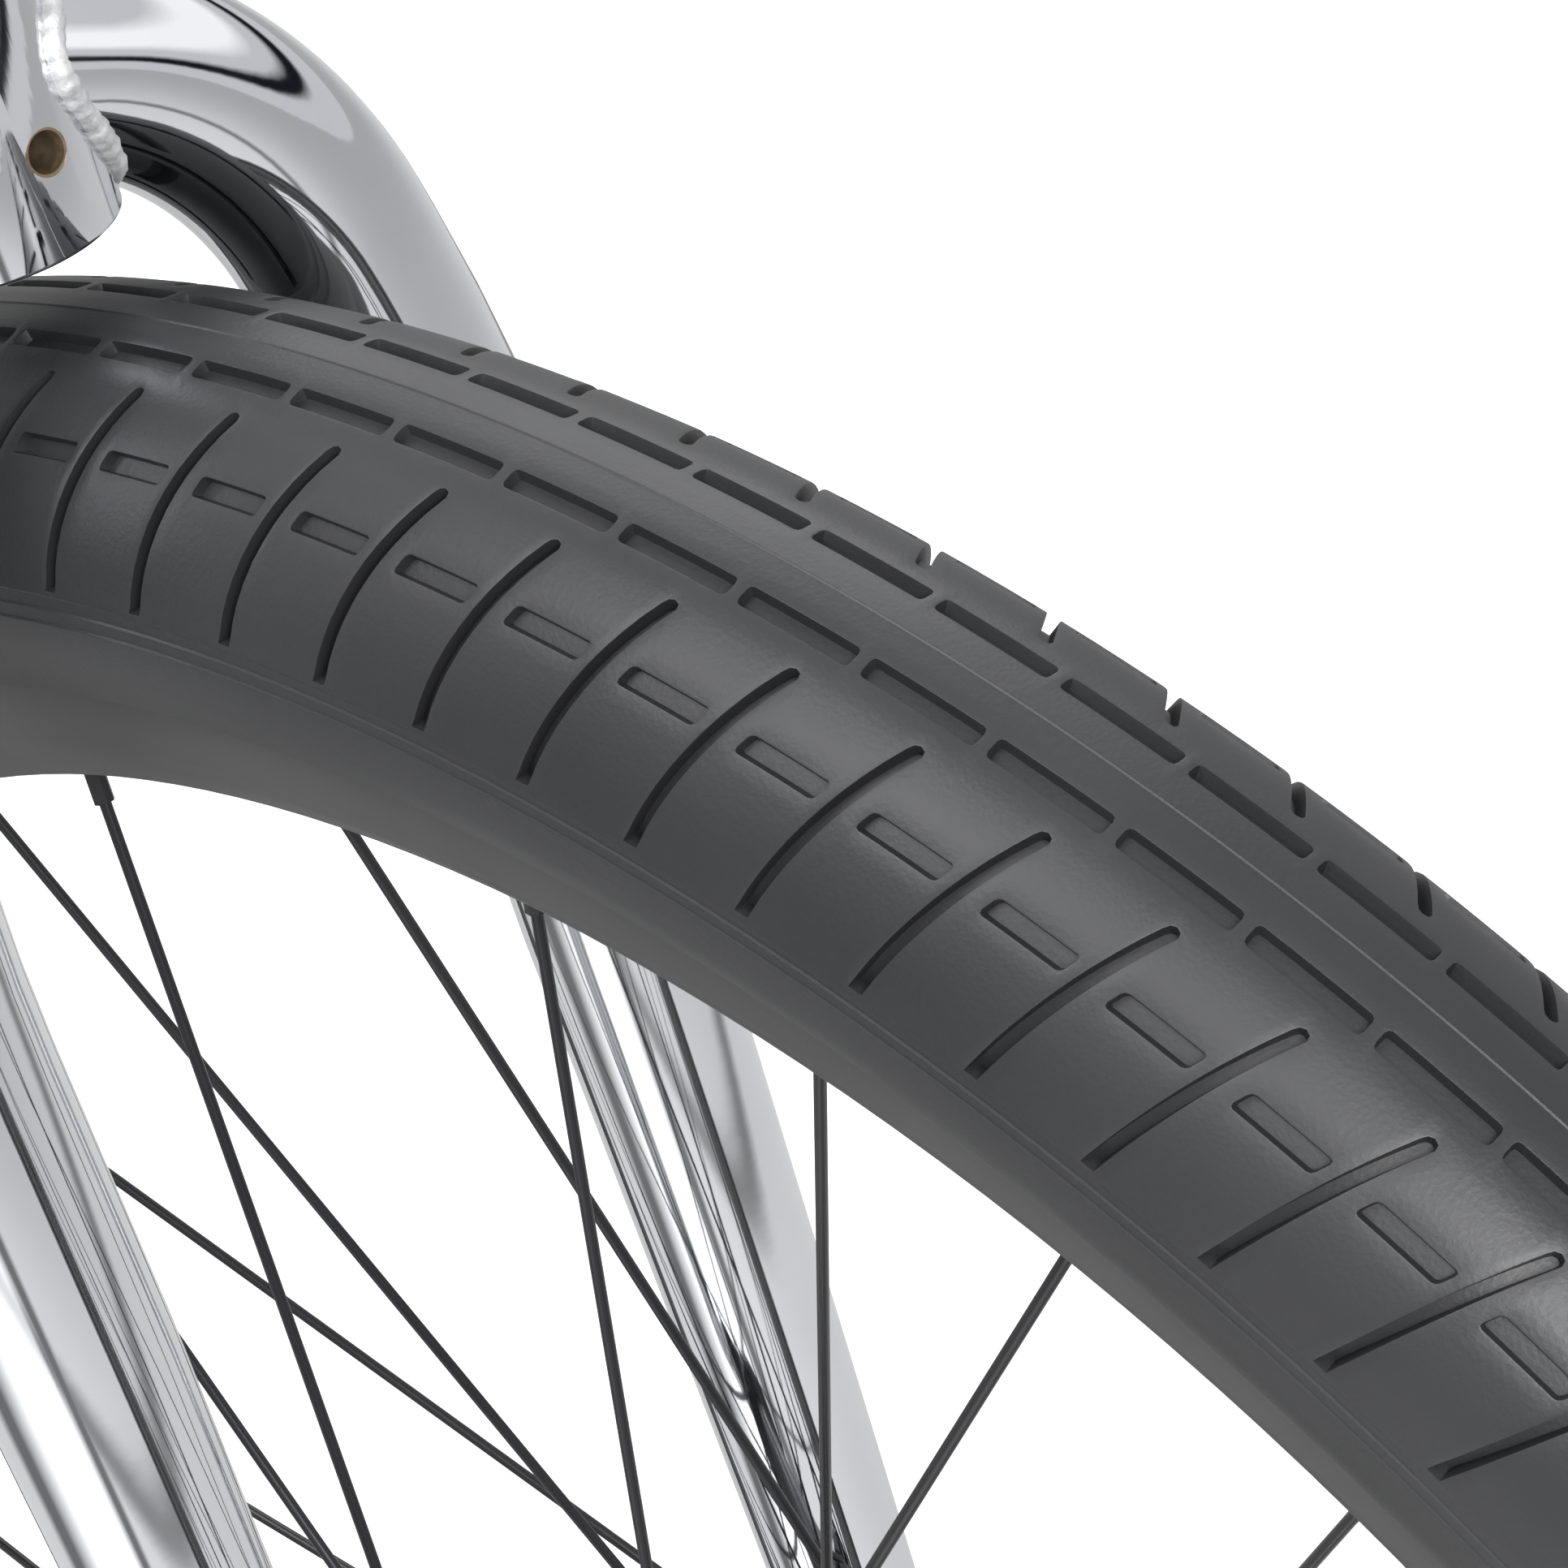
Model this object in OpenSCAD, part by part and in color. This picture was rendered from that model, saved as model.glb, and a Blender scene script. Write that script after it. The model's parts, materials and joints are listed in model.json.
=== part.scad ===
// 26 inch freestyle BMX bike.
// X points forward, Y to the rider's left, Z up. The origin is on the ground, midway between the axles.

/* [Wheels] */
// Radius over the tread
tyre_r = 337; // [330:1:338]
// Radius of the round tyre section
tyre_section_r = 31; // [29:0.5:31.5]
// Wall of the tyre
tyre_wall = 2.6; // [2:0.1:3]
// Radius of the rim's bead seat
bead_seat_r = 279.5; // [279:0.1:280]
// Width of the rim
rim_w = 35; // [33:0.5:36]
// Height of the rim's flange above the bead seat
rim_flange_h = 6; // [5.5:0.1:6.2]
// Wall of the rim
rim_wall = 2.2; // [1.8:0.1:2.6]
// Depth of the rim from flange to spoke bed
rim_depth = 26; // [24:0.5:28]
// Width of the rim's spoke bed
rim_bed_w = 19; // [17:0.5:21]
// Spokes in each wheel
spokes = 32; // [28, 32, 36]
// Turn of the spoke pattern
spoke_phase = 29.5; // [0:0.5:44.5]
// Radius of a spoke
spoke_r = 1; // [0.9:0.05:1.1]
// Radius of a nipple
nipple_r = 2; // [1.9:0.05:2.2]
// Length of a nipple outside the spoke bed
nipple_len = 9; // [7:0.5:11]
// Radius of the valve stem
valve_r = 4; // [3.8:0.1:4.2]
// Length of the valve stem inside the rim
valve_len = 30; // [24:1:36]

/* [Hubs] */
// Width of the front hub between the dropouts
front_hub_w = 100; // [98:1:104]
// Width of the rear hub between the dropouts
rear_hub_w = 110; // [110:1:112]
// Radius of the front axle's threads
front_axle_r = 4.76; // [4.7:0.02:5]
// Radius of the rear axle's threads
rear_axle_r = 7; // [6.8:0.1:7.2]
// Radius of the spoke holes' circle on the front hub
front_hole_r = 20; // [19.5:0.5:22]
// Radius of the spoke holes' circle on the rear hub
rear_hole_r = 27; // [26:0.5:29]
// Radius of the front hub's barrel
front_barrel_r = 15; // [14:0.5:17]
// Radius of the rear hub's barrel
rear_barrel_r = 20; // [19:0.5:21]
// Distance of a front hub flange from the middle plane
front_flange_y = 36; // [34:0.5:36.5]
// Distance of a rear hub flange from the middle plane
rear_flange_y = 29; // [27:0.5:30]
// Thickness of a hub flange
flange_t = 3; // [2.6:0.1:3.4]

/* [Frame] */
// Distance between the axles
wheelbase = 1010; // [1004:1:1030]
// Height of the bottom bracket
bb_h = 300; // [296:1:304]
// Angle of the steering axis from the ground
head_angle = 74; // [73.5:0.1:74.5]
// Angle of the seat tube from the ground
seat_angle = 71; // [70.5:0.1:71.5]
// Length of the head tube
head_len = 115; // [110:1:122]
// Radius of the head tube
head_r = 24; // [23:0.5:25]
// Length of the seat tube from the bottom bracket
seat_tube_len = 300; // [290:1:320]
// Radius of the seat tube
seat_tube_r = 15.9; // [15.4:0.1:16.4]
// Radius of the down tube
down_tube_r = 19; // [17:0.5:19.5]
// Radius of the top tube
top_tube_r = 17; // [16:0.5:18]
// Wall of the main tubes
tube_wall = 1.2; // [1:0.1:1.6]
// Radius of the bottom bracket shell
bb_shell_r = 25; // [24:0.5:26]
// Width of the bottom bracket shell
bb_shell_w = 68; // [66:1:68]
// Radius of a chain stay
chain_stay_r = 8; // [7.5:0.1:8.1]
// Radius of a seat stay
seat_stay_r = 7; // [6.5:0.1:7.5]
// Thickness of the dropout plates
dropout_t = 6; // [5:0.5:6.5]

/* [Fork] */
// Offset of the axle in front of the steering axis
rake = 30; // [28:0.5:32]
// Radius of the steerer
steerer_r = 14.3; // [14.2:0.05:14.4]
// Wall of the steerer
steerer_wall = 2.8; // [2.4:0.1:3.2]
// Height of the steerer's lower end above the axle
crown_low = 347; // [345:0.5:350]
// Height where the leg's centre line meets the steering axis
crown_meet = 374; // [372:0.5:376]
// Radius of a fork leg at the crown
leg_r = 16; // [15.5:0.1:16.5]
// Radius of a fork leg at the dropout
leg_end_r = 12.8; // [12:0.1:13.5]
// Distance of a fork leg from the middle plane
leg_y = 62.5; // [62:0.1:64]
// Height above the axle where the leg begins to taper
taper_start = 185; // [170:1:200]
// Slope of the leg where it leaves the steerer
crown_drop = 27; // [25:0.5:29]
// Slope of the leg's shoulder
shoulder_drop = 77; // [75:0.5:79]
// Bend radius beside the steerer
crown_bend = 73; // [70:1:76]
// Bend radius of the shoulder
shoulder_bend = 330; // [300:5:350]
// Radius of the cross hole in the crown
crown_hole_r = 3.5; // [3:0.1:4]

/* [Bars] */
// Reach of the stem
stem_reach = 53; // [50:1:56]
// Width of the stem's bar clamp
clamp_w = 50; // [46:1:52]
// Radius of the handlebar tube
bar_r = 11.1; // [10.9:0.1:11.3]
// Wall of the handlebar tube
bar_wall = 1.6; // [1.4:0.1:2]
// Rise of the bars above the clamp
bar_rise = 203; // [195:1:215]
// Width of the bars without the end plugs
bar_w = 730; // [700:5:740]
// Radius of the crossbar
crossbar_r = 8; // [7.5:0.1:8.5]
// Height of the crossbar above the clamp
crossbar_h = 150; // [140:1:155]
// Backward sweep of the grips
bar_sweep = 11; // [9:0.5:12]
// Radius of a grip
grip_r = 15; // [14.5:0.1:16]
// Length of a grip
grip_len = 145; // [135:1:150]

/* [Drivetrain] */
// Teeth on the front sprocket
sprocket_teeth = 36; // [36]
// Teeth on the rear cog
cog_teeth = 16; // [16]
// Chain pitch
pitch = 12.7; // [12.7]
// Links in each straight run of the chain
run_links = 32; // [32]
// Radius of a chain roller
roller_r = 3.88; // [3.8:0.02:3.92]
// Distance of the chain from the middle plane
chain_line = 46; // [45.8:0.1:46.2]
// Length of a crank arm between its centres
crank_len = 175; // [170:1:178]
// Distance of the crank arms' outer face from the middle plane
crank_face = 76; // [75:0.5:78]
// Thickness of a crank arm
crank_t = 15; // [14:0.5:15.5]
// Radius of the crank spindle
spindle_r = 11; // [10.9:0.1:11.1]
// Length of a pedal along the axle
pedal_w = 96; // [90:1:100]
// Length of a pedal from front to back
pedal_l = 98; // [92:1:104]
// Thickness of a pedal body
pedal_t = 17; // [16:0.5:19]
// Angle of the cranks below level, right arm forward
crank_rest = 0; // [0]

/* [Seat] */
// Radius of the seat post
post_r = 12.65; // [12.5:0.05:12.65]
// Length of the seat post above the frame
post_out = 84; // [80:1:110]
// Length of the seat post inside the frame
post_in = 130; // [120:1:150]
// Length of the seat
seat_l = 250; // [240:1:260]
// Width of the seat's back
seat_w = 120; // [110:1:130]
// Width of the seat's nose
nose_w = 44; // [40:1:50]
// Thickness of the padding
pad_t = 20; // [18:1:24]

/* [Clearances] */
// Radial clearance of a running fit
run_gap = 0.05; // [0.03:0.01:0.08]
// Gap at a welded or pressed joint
weld_gap = 0.1; // [0.05:0.01:0.15]
// Side clearance between parts that move apart
side_gap = 0.3; // [0.25:0.05:0.5]

/* [Hidden] */
$fn = 64;

eps = 0.01;
past = 5;                                     // how far a cutting shape runs past what it cuts

chrome = [0.80, 0.81, 0.83];
black = [0.09, 0.09, 0.10];
rubber = [0.14, 0.14, 0.15];
steel = [0.62, 0.63, 0.65];

// ---- places in the side plane ----
front_x = wheelbase / 2;
rear_x = -wheelbase / 2;
front_axle_p = [front_x, 0, tyre_r];
rear_axle_p = [rear_x, 0, tyre_r];

// chain geometry: the sprocket and the cog hold whole numbers of rollers
sprocket_pr = pitch / (2 * sin(180 / sprocket_teeth));
cog_pr = pitch / (2 * sin(180 / cog_teeth));
sprocket_rollers = 20;
cog_rollers = 8;
sprocket_half = (sprocket_rollers - 1) / 2 * 360 / sprocket_teeth;
cog_half = (cog_rollers - 1) / 2 * 360 / cog_teeth;
run_drop = sprocket_pr * sin(sprocket_half) - cog_pr * sin(cog_half);
run_shift = sprocket_pr * cos(sprocket_half) + cog_pr * cos(cog_half);
stay_len = sqrt(pow(run_links * pitch, 2) - pow(run_drop, 2)) - run_shift;
links = sprocket_rollers + cog_rollers - 2 + 2 * run_links;
bb_x = rear_x + sqrt(pow(stay_len, 2) - pow(tyre_r - bb_h, 2));
bb_p = [bb_x, 0, bb_h];
stay_tilt = asin((tyre_r - bb_h) / stay_len);

// directions of the steering axis and the seat tube
head_up = [-cos(head_angle), 0, sin(head_angle)];
head_fwd = [sin(head_angle), 0, cos(head_angle)];
seat_up = [-cos(seat_angle), 0, sin(seat_angle)];
function on_steering(a) = front_axle_p - rake * head_fwd + a * head_up;
function on_seat_tube(s) = bb_p + s * seat_up;

// headset and stem stack, as heights above the axle along the steering axis
race_t = 6;
race_low = crown_meet + leg_r + 2;
bearing_h = 7;
bearing_r = 20.9;
head_low = race_low + race_t + side_gap;
head_high = head_low + head_len;
cover_t = 7;
spacer_t = 8;
stem_low = head_high + side_gap + cover_t + spacer_t;
stem_h = 40;
stem_high = stem_low + stem_h;
cap_t = 5;
steerer_top = stem_high - 2;
clamp_a = stem_low + stem_h / 2 + 2;

// where tubes meet
top_tube_a = head_high - 24;
down_tube_a = head_low + 46;
clamp_h = 15;
top_tube_s = seat_tube_len - clamp_h - top_tube_r - 8;
seat_stay_s = seat_tube_len - 34;

// wheel section
tread_centre_r = tyre_r - tyre_section_r;
flange_top_r = bead_seat_r + rim_flange_h;
bed_r = flange_top_r - rim_depth;
spoke_step = 360 / spokes;
cross_angle = 3 * 2 * spoke_step;
bead_gap = 0.3;
strip_t = 0.8;
tube_t = 0.9;
tube_section_r = tyre_section_r - tyre_wall - bead_gap - 3.6;
tube_centre_r = tread_centre_r + tyre_section_r - tyre_wall - bead_gap - tube_section_r;

// ---- helpers ----
// places children in the frame of the steering axis: origin beside the front axle, Z up the axis
module steering_frame() {
    translate(on_steering(0)) rotate([0, head_angle - 90, 0]) children();
}

// places children with Z along the seat tube, origin at the bottom bracket
module seat_tube_frame() {
    translate(bb_p) rotate([0, seat_angle - 90, 0]) children();
}

// places children with X from the rear axle to the bottom bracket, origin at the bottom bracket
module stay_frame() {
    translate(bb_p) rotate([0, stay_tilt, 0]) children();
}

// a round bar from p to q
module rod(p, q, r1, r2) {
    v = q - p;
    translate(p) rotate([0, acos(v[2] / norm(v)), atan2(v[1], v[0])])
        cylinder(h = norm(v), r1 = r1, r2 = r2);
}

// a round bar across the bike, from y1 to y2
module cross_rod(x, z, y1, y2, r) {
    translate([x, max(y1, y2), z]) rotate([90, 0, 0]) cylinder(h = abs(y2 - y1), r = r);
}

// a 2D outline, drawn in X and Z, given thickness across the bike from y1 to y2
module cross_plate(y1, y2) {
    translate([0, max(y1, y2), 0]) rotate([90, 0, 0]) linear_extrude(height = abs(y2 - y1)) children();
}

module both_sides() {
    children();
    mirror([0, 1, 0]) children();
}

function unit(v) = v / norm(v);
function turn(a, b, c) = acos(max(-1, min(1, unit(b - a) * unit(c - b))));

// one round bend of radius bend at corner b of the path a, b, c
module bend_at(a, b, c, bend, r) {
    d1 = unit(b - a);
    d2 = unit(c - b);
    angle = turn(a, b, c);
    n = unit(d2 - (d1 * d2) * d1);
    w = cross(-n, d1);
    o = b - bend * tan(angle / 2) * d1 + bend * n;
    multmatrix([[-n[0], d1[0], w[0], o[0]],
                [-n[1], d1[1], w[1], o[1]],
                [-n[2], d1[2], w[2], o[2]],
                [0, 0, 0, 1]])
        rotate_extrude(angle = angle) translate([bend, 0]) circle(r = r);
}

// a bar of radius r along a path, with a round bend of its own radius at each inner corner;
// the straights are a hair thinner than the bends and slip a little way into them
slip = 1;
slip_step = 0.1;
module bent_rod(path, bends, r) {
    last = len(path) - 1;
    for (i = [0 : last - 1]) {
        d = unit(path[i + 1] - path[i]);
        cut1 = i == 0 ? 0 : bends[i - 1] * tan(turn(path[i - 1], path[i], path[i + 1]) / 2) - slip;
        cut2 = i == last - 1 ? 0 : bends[i] * tan(turn(path[i], path[i + 1], path[i + 2]) / 2) - slip;
        if (norm(path[i + 1] - path[i]) - cut1 - cut2 > 2 * slip + eps)
            rod(path[i] + cut1 * d, path[i + 1] - cut2 * d, r - slip_step, r - slip_step);
    }
    for (i = [1 : last - 1]) bend_at(path[i - 1], path[i], path[i + 1], bends[i - 1], r);
}

// ---- frame ----
module head_tube_solid(extra) {
    steering_frame() translate([0, 0, head_low]) cylinder(h = head_len, r = head_r + extra);
}

module head_tube() {
    color(chrome) steering_frame() difference() {
        translate([0, 0, head_low]) cylinder(h = head_len, r = head_r);
        translate([0, 0, head_low - past]) cylinder(h = head_len + 2 * past, r = bearing_r - 3);
        for (z = [head_low - past, head_high - bearing_h])
            translate([0, 0, z]) cylinder(h = bearing_h + past, r = bearing_r);
    }
}

module seat_tube_solid(extra) {
    seat_tube_frame() cylinder(h = seat_tube_len, r = seat_tube_r + extra);
}

module bb_solid(extra) {
    cross_rod(bb_x, bb_h, -bb_shell_w / 2 - extra, bb_shell_w / 2 + extra, bb_shell_r + extra);
}

module top_tube() {
    p = on_steering(top_tube_a);
    q = on_seat_tube(top_tube_s);
    color(chrome) difference() {
        rod(p, q, top_tube_r, top_tube_r);
        rod(p, q, top_tube_r - tube_wall, top_tube_r - tube_wall);
        head_tube_solid(weld_gap);
        seat_tube_solid(weld_gap);
    }
}

module down_tube() {
    p = on_steering(down_tube_a);
    color(chrome) difference() {
        rod(p, bb_p, down_tube_r, down_tube_r);
        rod(p, bb_p, down_tube_r - tube_wall, down_tube_r - tube_wall);
        head_tube_solid(weld_gap);
        bb_solid(weld_gap);
        seat_tube_solid(weld_gap);
    }
}

module seat_tube() {
    slit_w = 2.5;
    slit_l = 24;
    color(chrome) difference() {
        seat_tube_solid(0);
        seat_tube_frame() translate([0, 0, -past])
            cylinder(h = seat_tube_len + 2 * past, r = post_r + run_gap);
        seat_tube_frame() translate([-seat_tube_r - past, -slit_w / 2, seat_tube_len - slit_l])
            cube([seat_tube_r + past, slit_w, slit_l + past]);
        bb_solid(weld_gap);
    }
}

bb_bearing_r = 20.6;
bb_bearing_w = 8;
module bb_shell() {
    color(chrome) difference() {
        bb_solid(0);
        cross_rod(bb_x, bb_h, -bb_shell_w / 2 - past, bb_shell_w / 2 + past, bb_bearing_r - 2);
        both_sides()
            cross_rod(bb_x, bb_h, bb_shell_w / 2 - bb_bearing_w, bb_shell_w / 2 + past, bb_bearing_r);
    }
}

// chain stay path, measured back from the bottom bracket: it bends out round the tyre
stay_end = 38;                                // distance of the tube's end from the rear axle
dropout_y = rear_hub_w / 2;
chain_stay_path = [[0, 22, 0], [-72, 33.3, 0], [-106, 46, 0],
                   [-(stay_len - stay_end), dropout_y + dropout_t / 2, 0]];
chain_stay_bends = [60, 60];
module chain_stay_bar(r) { stay_frame() bent_rod(chain_stay_path, chain_stay_bends, r); }

module chain_stays() {
    color(chrome) both_sides() difference() {
        chain_stay_bar(chain_stay_r);
        chain_stay_bar(chain_stay_r - tube_wall);
        bb_solid(weld_gap);
        dropout_plate(weld_gap);
    }
}

// seat stay path, from the seat tube to the dropout
function stay_point(t, y) = let (p = on_seat_tube(seat_stay_s), v = rear_axle_p - p)
    [p[0] + t * v[0], y, p[2] + t * v[2]];
stay_reach = norm(rear_axle_p - on_seat_tube(seat_stay_s));
seat_stay_path = [stay_point(0, 14), stay_point(0.05, 18), stay_point(0.17, 45),
                  stay_point(1 - stay_end / stay_reach, dropout_y + dropout_t)];
seat_stay_bends = [25, 40];
module seat_stay_bar(r) { bent_rod(seat_stay_path, seat_stay_bends, r); }

module seat_stays() {
    color(chrome) both_sides() difference() {
        seat_stay_bar(seat_stay_r);
        seat_stay_bar(seat_stay_r - tube_wall);
        seat_tube_solid(weld_gap);
        dropout_plate(weld_gap);
    }
}

// a short tube between the two chain stays, just behind the bottom bracket shell,
// and a plate bridge between the seat stays under the seat tube joint
bridge_r = 6;
chain_bridge_s = 46;
seat_bridge_t = 0.055;
module stay_bridges() {
    p = stay_point(seat_bridge_t, 0);
    color(chrome) difference() {
        union() {
            stay_frame() cross_rod(-chain_bridge_s, 0, -30, 30, bridge_r);
            cross_rod(p[0], p[2], -30, 30, bridge_r);
        }
        stay_frame() cross_rod(-chain_bridge_s, 0, -40, 40, bridge_r - tube_wall);
        cross_rod(p[0], p[2], -40, 40, bridge_r - tube_wall);
        seat_tube_solid(weld_gap);
        bb_solid(weld_gap);
        both_sides() {
            chain_stay_bar(chain_stay_r + weld_gap);
            seat_stay_bar(seat_stay_r + weld_gap);
            // what would stick out beyond the stays
            stay_frame() translate([-chain_bridge_s - 20, 29.2, -20]) cube([40, 20, 40]);
            translate([p[0] - 20, 19.3, p[2] - 20]) cube([40, 20, 40]);
        }
    }
}

// rear dropout: a plate with a long slot open to the back
slot_half = rear_axle_r + 0.15;
slot_run = 60;                                // longer than the plate, so the slot is open behind
module dropout_outline() {
    difference() {
        union() {
            circle(r = 20);
            translate([-26, 0]) circle(r = 14);
            translate([-26, -14]) square([26, 28]);
            // arms towards the two stays
            rotate(-stay_tilt) translate([0, -9]) square([stay_end + 22, 18]);
            rotate(seat_stay_slope) translate([0, -8]) square([stay_end + 22, 16]);
        }
        circle(r = slot_half);
        translate([-slot_run, -slot_half]) square([slot_run, 2 * slot_half]);
    }
}
stay_vec = on_seat_tube(seat_stay_s) - rear_axle_p;
seat_stay_slope = atan2(stay_vec[2], stay_vec[0]);
module dropout_plate(extra) {
    translate([rear_x, 0, tyre_r])
        cross_plate(dropout_y - extra, dropout_y + dropout_t + extra) dropout_outline();
}

module rear_dropouts() {
    color(chrome) both_sides() dropout_plate(0);
}

clamp_t = 3.4;
clamp_ear = 11;
module seat_clamp() {
    z = seat_tube_len - clamp_h + 1;
    r = seat_tube_r + weld_gap;
    color(black) seat_tube_frame() difference() {
        union() {
            translate([0, 0, z]) cylinder(h = clamp_h, r = r + clamp_t);
            translate([-r - clamp_ear, -9, z]) cube([clamp_ear, 18, clamp_h]);
        }
        translate([0, 0, z - past]) cylinder(h = clamp_h + 2 * past, r = r);
        translate([-r - clamp_ear - past, -1.2, z - past])
            cube([clamp_ear + 2 * past, 2.4, clamp_h + 2 * past]);
        cross_rod(-r - clamp_ear / 2 - 1, z + clamp_h / 2, -20, 20, 2.6);
    }
}

module seat_clamp_bolt() {
    z = seat_tube_len - clamp_h / 2 + 1;
    x = -seat_tube_r - weld_gap - clamp_ear / 2 - 1;
    color(steel) seat_tube_frame() union() {
        cross_rod(x, z, -9, 9, 2.5);
        difference() {
            cross_rod(x, z, 9, 14, 4.5);
            translate([x, 14.5, z]) rotate([90, 0, 0]) cylinder(h = 3.5, r = 2.3, $fn = 6);
        }
    }
}

module headset_bearings() {
    color(steel) steering_frame() for (z = [head_low, head_high - bearing_h]) difference() {
        translate([0, 0, z]) cylinder(h = bearing_h, r = bearing_r - run_gap);
        translate([0, 0, z - past]) cylinder(h = bearing_h + 2 * past, r = steerer_r + run_gap);
    }
}

module bb_bearings() {
    color(steel) both_sides() difference() {
        cross_rod(bb_x, bb_h, bb_shell_w / 2 - bb_bearing_w + weld_gap, bb_shell_w / 2,
            bb_bearing_r - run_gap);
        cross_rod(bb_x, bb_h, 0, bb_shell_w, spindle_r + run_gap);
    }
}

// ---- axles ----
washer_t = 1.6;
nut_t = 9;
axle_out = 8;                                 // free end beyond the relief groove
axle_groove = 0.6;
module axle(p, thread_r, body_r, hub_w, plate_t) {
    nut_end = hub_w / 2 + plate_t + washer_t + nut_t;
    free = nut_end + axle_groove + axle_out;
    union() {
        cross_rod(p[0], p[2], -nut_end, nut_end, thread_r);
        cross_rod(p[0], p[2], -free + 1, free - 1, thread_r - axle_groove);
        both_sides() cross_rod(p[0], p[2], nut_end + axle_groove, free, thread_r);
        cross_rod(p[0], p[2], -hub_w / 2 + eps, hub_w / 2 - eps, body_r);
        both_sides() cross_rod(p[0], p[2], hub_w / 2 - 4, hub_w / 2 - eps, body_r + 3.5);
    }
}

module axle_nuts(p, thread_r, hub_w, plate_t) {
    both_sides() {
        y = hub_w / 2 + plate_t;
        difference() {
            cross_rod(p[0], p[2], y, y + washer_t, 2 * thread_r);
            cross_rod(p[0], p[2], y - 1, y + 3, thread_r + run_gap);
        }
        difference() {
            translate([p[0], y + washer_t + nut_t, p[2]]) rotate([90, 0, 0])
                cylinder(h = nut_t, r = 1.75 * thread_r, $fn = 6);
            cross_rod(p[0], p[2], y, y + washer_t + nut_t + past, thread_r + run_gap);
        }
    }
}

front_body_r = 5;
rear_body_r = 8.5;
module rear_axle() { color(steel) axle(rear_axle_p, rear_axle_r, rear_body_r, rear_hub_w, dropout_t); }
module rear_axle_nuts() { color(black) axle_nuts(rear_axle_p, rear_axle_r, rear_hub_w, dropout_t); }
module front_axle() { color(steel) axle(front_axle_p, front_axle_r, front_body_r, front_hub_w, dropout_t); }
module front_axle_nuts() { color(black) axle_nuts(front_axle_p, front_axle_r, front_hub_w, dropout_t); }

// ---- chain ----
function sprocket_point(a) = [sprocket_pr * cos(a), sprocket_pr * sin(a)];
function cog_point(a) = [-stay_len - cog_pr * cos(a), cog_pr * sin(a)];
run_top = [for (k = [1 : run_links - 1]) let (t = k / run_links)
    (1 - t) * sprocket_point(sprocket_half) + t * cog_point(cog_half)];
run_low = [for (k = [1 : run_links - 1]) let (t = k / run_links)
    (1 - t) * cog_point(-cog_half) + t * sprocket_point(-sprocket_half)];
rollers = concat(
    [for (k = [0 : sprocket_rollers - 1]) sprocket_point(-sprocket_half + k * 360 / sprocket_teeth)],
    run_top,
    [for (k = [0 : cog_rollers - 1]) cog_point(cog_half - k * 360 / cog_teeth)],
    run_low);

plate_half = 4.1;
plate_t = 1.2;
plate_gap = 0.1;
inner_half = 1.65;
pin_r = 1.8;
pin_half = 4.9;
module link_plates(y, holes) {
    both_sides() cross_plate(y, y + plate_t) difference() {
        union() {
            circle(r = plate_half);
            translate([pitch, 0]) circle(r = plate_half);
            translate([0, -plate_half * 0.8]) square([pitch, plate_half * 1.6]);
        }
        if (holes) for (x = [0, pitch]) translate([x, 0]) circle(r = pin_r + 0.08);
    }
}

module inner_link() {
    link_plates(inner_half, true);
    for (x = [0, pitch]) difference() {
        cross_rod(x, 0, -inner_half - eps, inner_half + eps, roller_r);
        cross_rod(x, 0, -inner_half - 1, inner_half + 1, pin_r + 0.08);
    }
}

module outer_link() {
    link_plates(inner_half + plate_t + plate_gap, false);
    for (x = [0, pitch]) cross_rod(x, 0, -pin_half, pin_half, pin_r);
}

module chain() {
    color(steel) stay_frame() translate([0, -chain_line, 0]) for (i = [0 : links - 1]) {
        p = rollers[i];
        q = rollers[(i + 1) % links];
        translate([p[0], 0, p[1]]) rotate([0, -atan2(q[1] - p[1], q[0] - p[0]), 0])
            if (i % 2 == 0) inner_link(); else outer_link();
    }
}

// ---- toothed wheels ----
seat_gap = 0.2;
tooth_t = 2.9;
tip_over = 2.6;
module teeth_outline(teeth, pr, first) {
    difference() {
        circle(r = pr + tip_over, $fn = 180);
        for (k = [0 : teeth - 1]) rotate(first + k * 360 / teeth) translate([pr, 0]) {
            circle(r = roller_r + seat_gap, $fn = 24);
            polygon([[0, -roller_r - seat_gap], [tip_over + 1.4, -roller_r - 1.4],
                     [tip_over + 1.4, roller_r + 1.4], [0, roller_r + seat_gap]]);
        }
    }
}

bolt_circle = 34;
sprocket_bolt_r = 4;
module sprocket() {
    color(black) stay_frame() difference() {
        union() {
            cross_plate(-chain_line - tooth_t / 2, -chain_line + tooth_t / 2)
                teeth_outline(sprocket_teeth, sprocket_pr, 180 / sprocket_teeth);
            cross_rod(0, 0, -chain_line - tooth_t / 2 - 3, -chain_line, 20);
            rotate([0, stay_tilt_to_level, 0])
                cross_rod(bolt_circle, 0, -chain_line - tooth_t / 2 - 3, -chain_line, 8);
        }
        cross_rod(0, 0, -chain_line - 20, 0, spindle_r + run_gap);
        rotate([0, stay_tilt_to_level, 0]) {
            cross_rod(bolt_circle, 0, -chain_line - 20, 0, sprocket_bolt_r + run_gap);
            // lightening holes between the arms
            for (k = [0 : 7]) rotate([0, 22.5 + 45 * k, 0])
                cross_rod(50, 0, -chain_line - 20, -chain_line + 20, 11);
        }
    }
}
stay_tilt_to_level = -stay_tilt;

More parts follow.
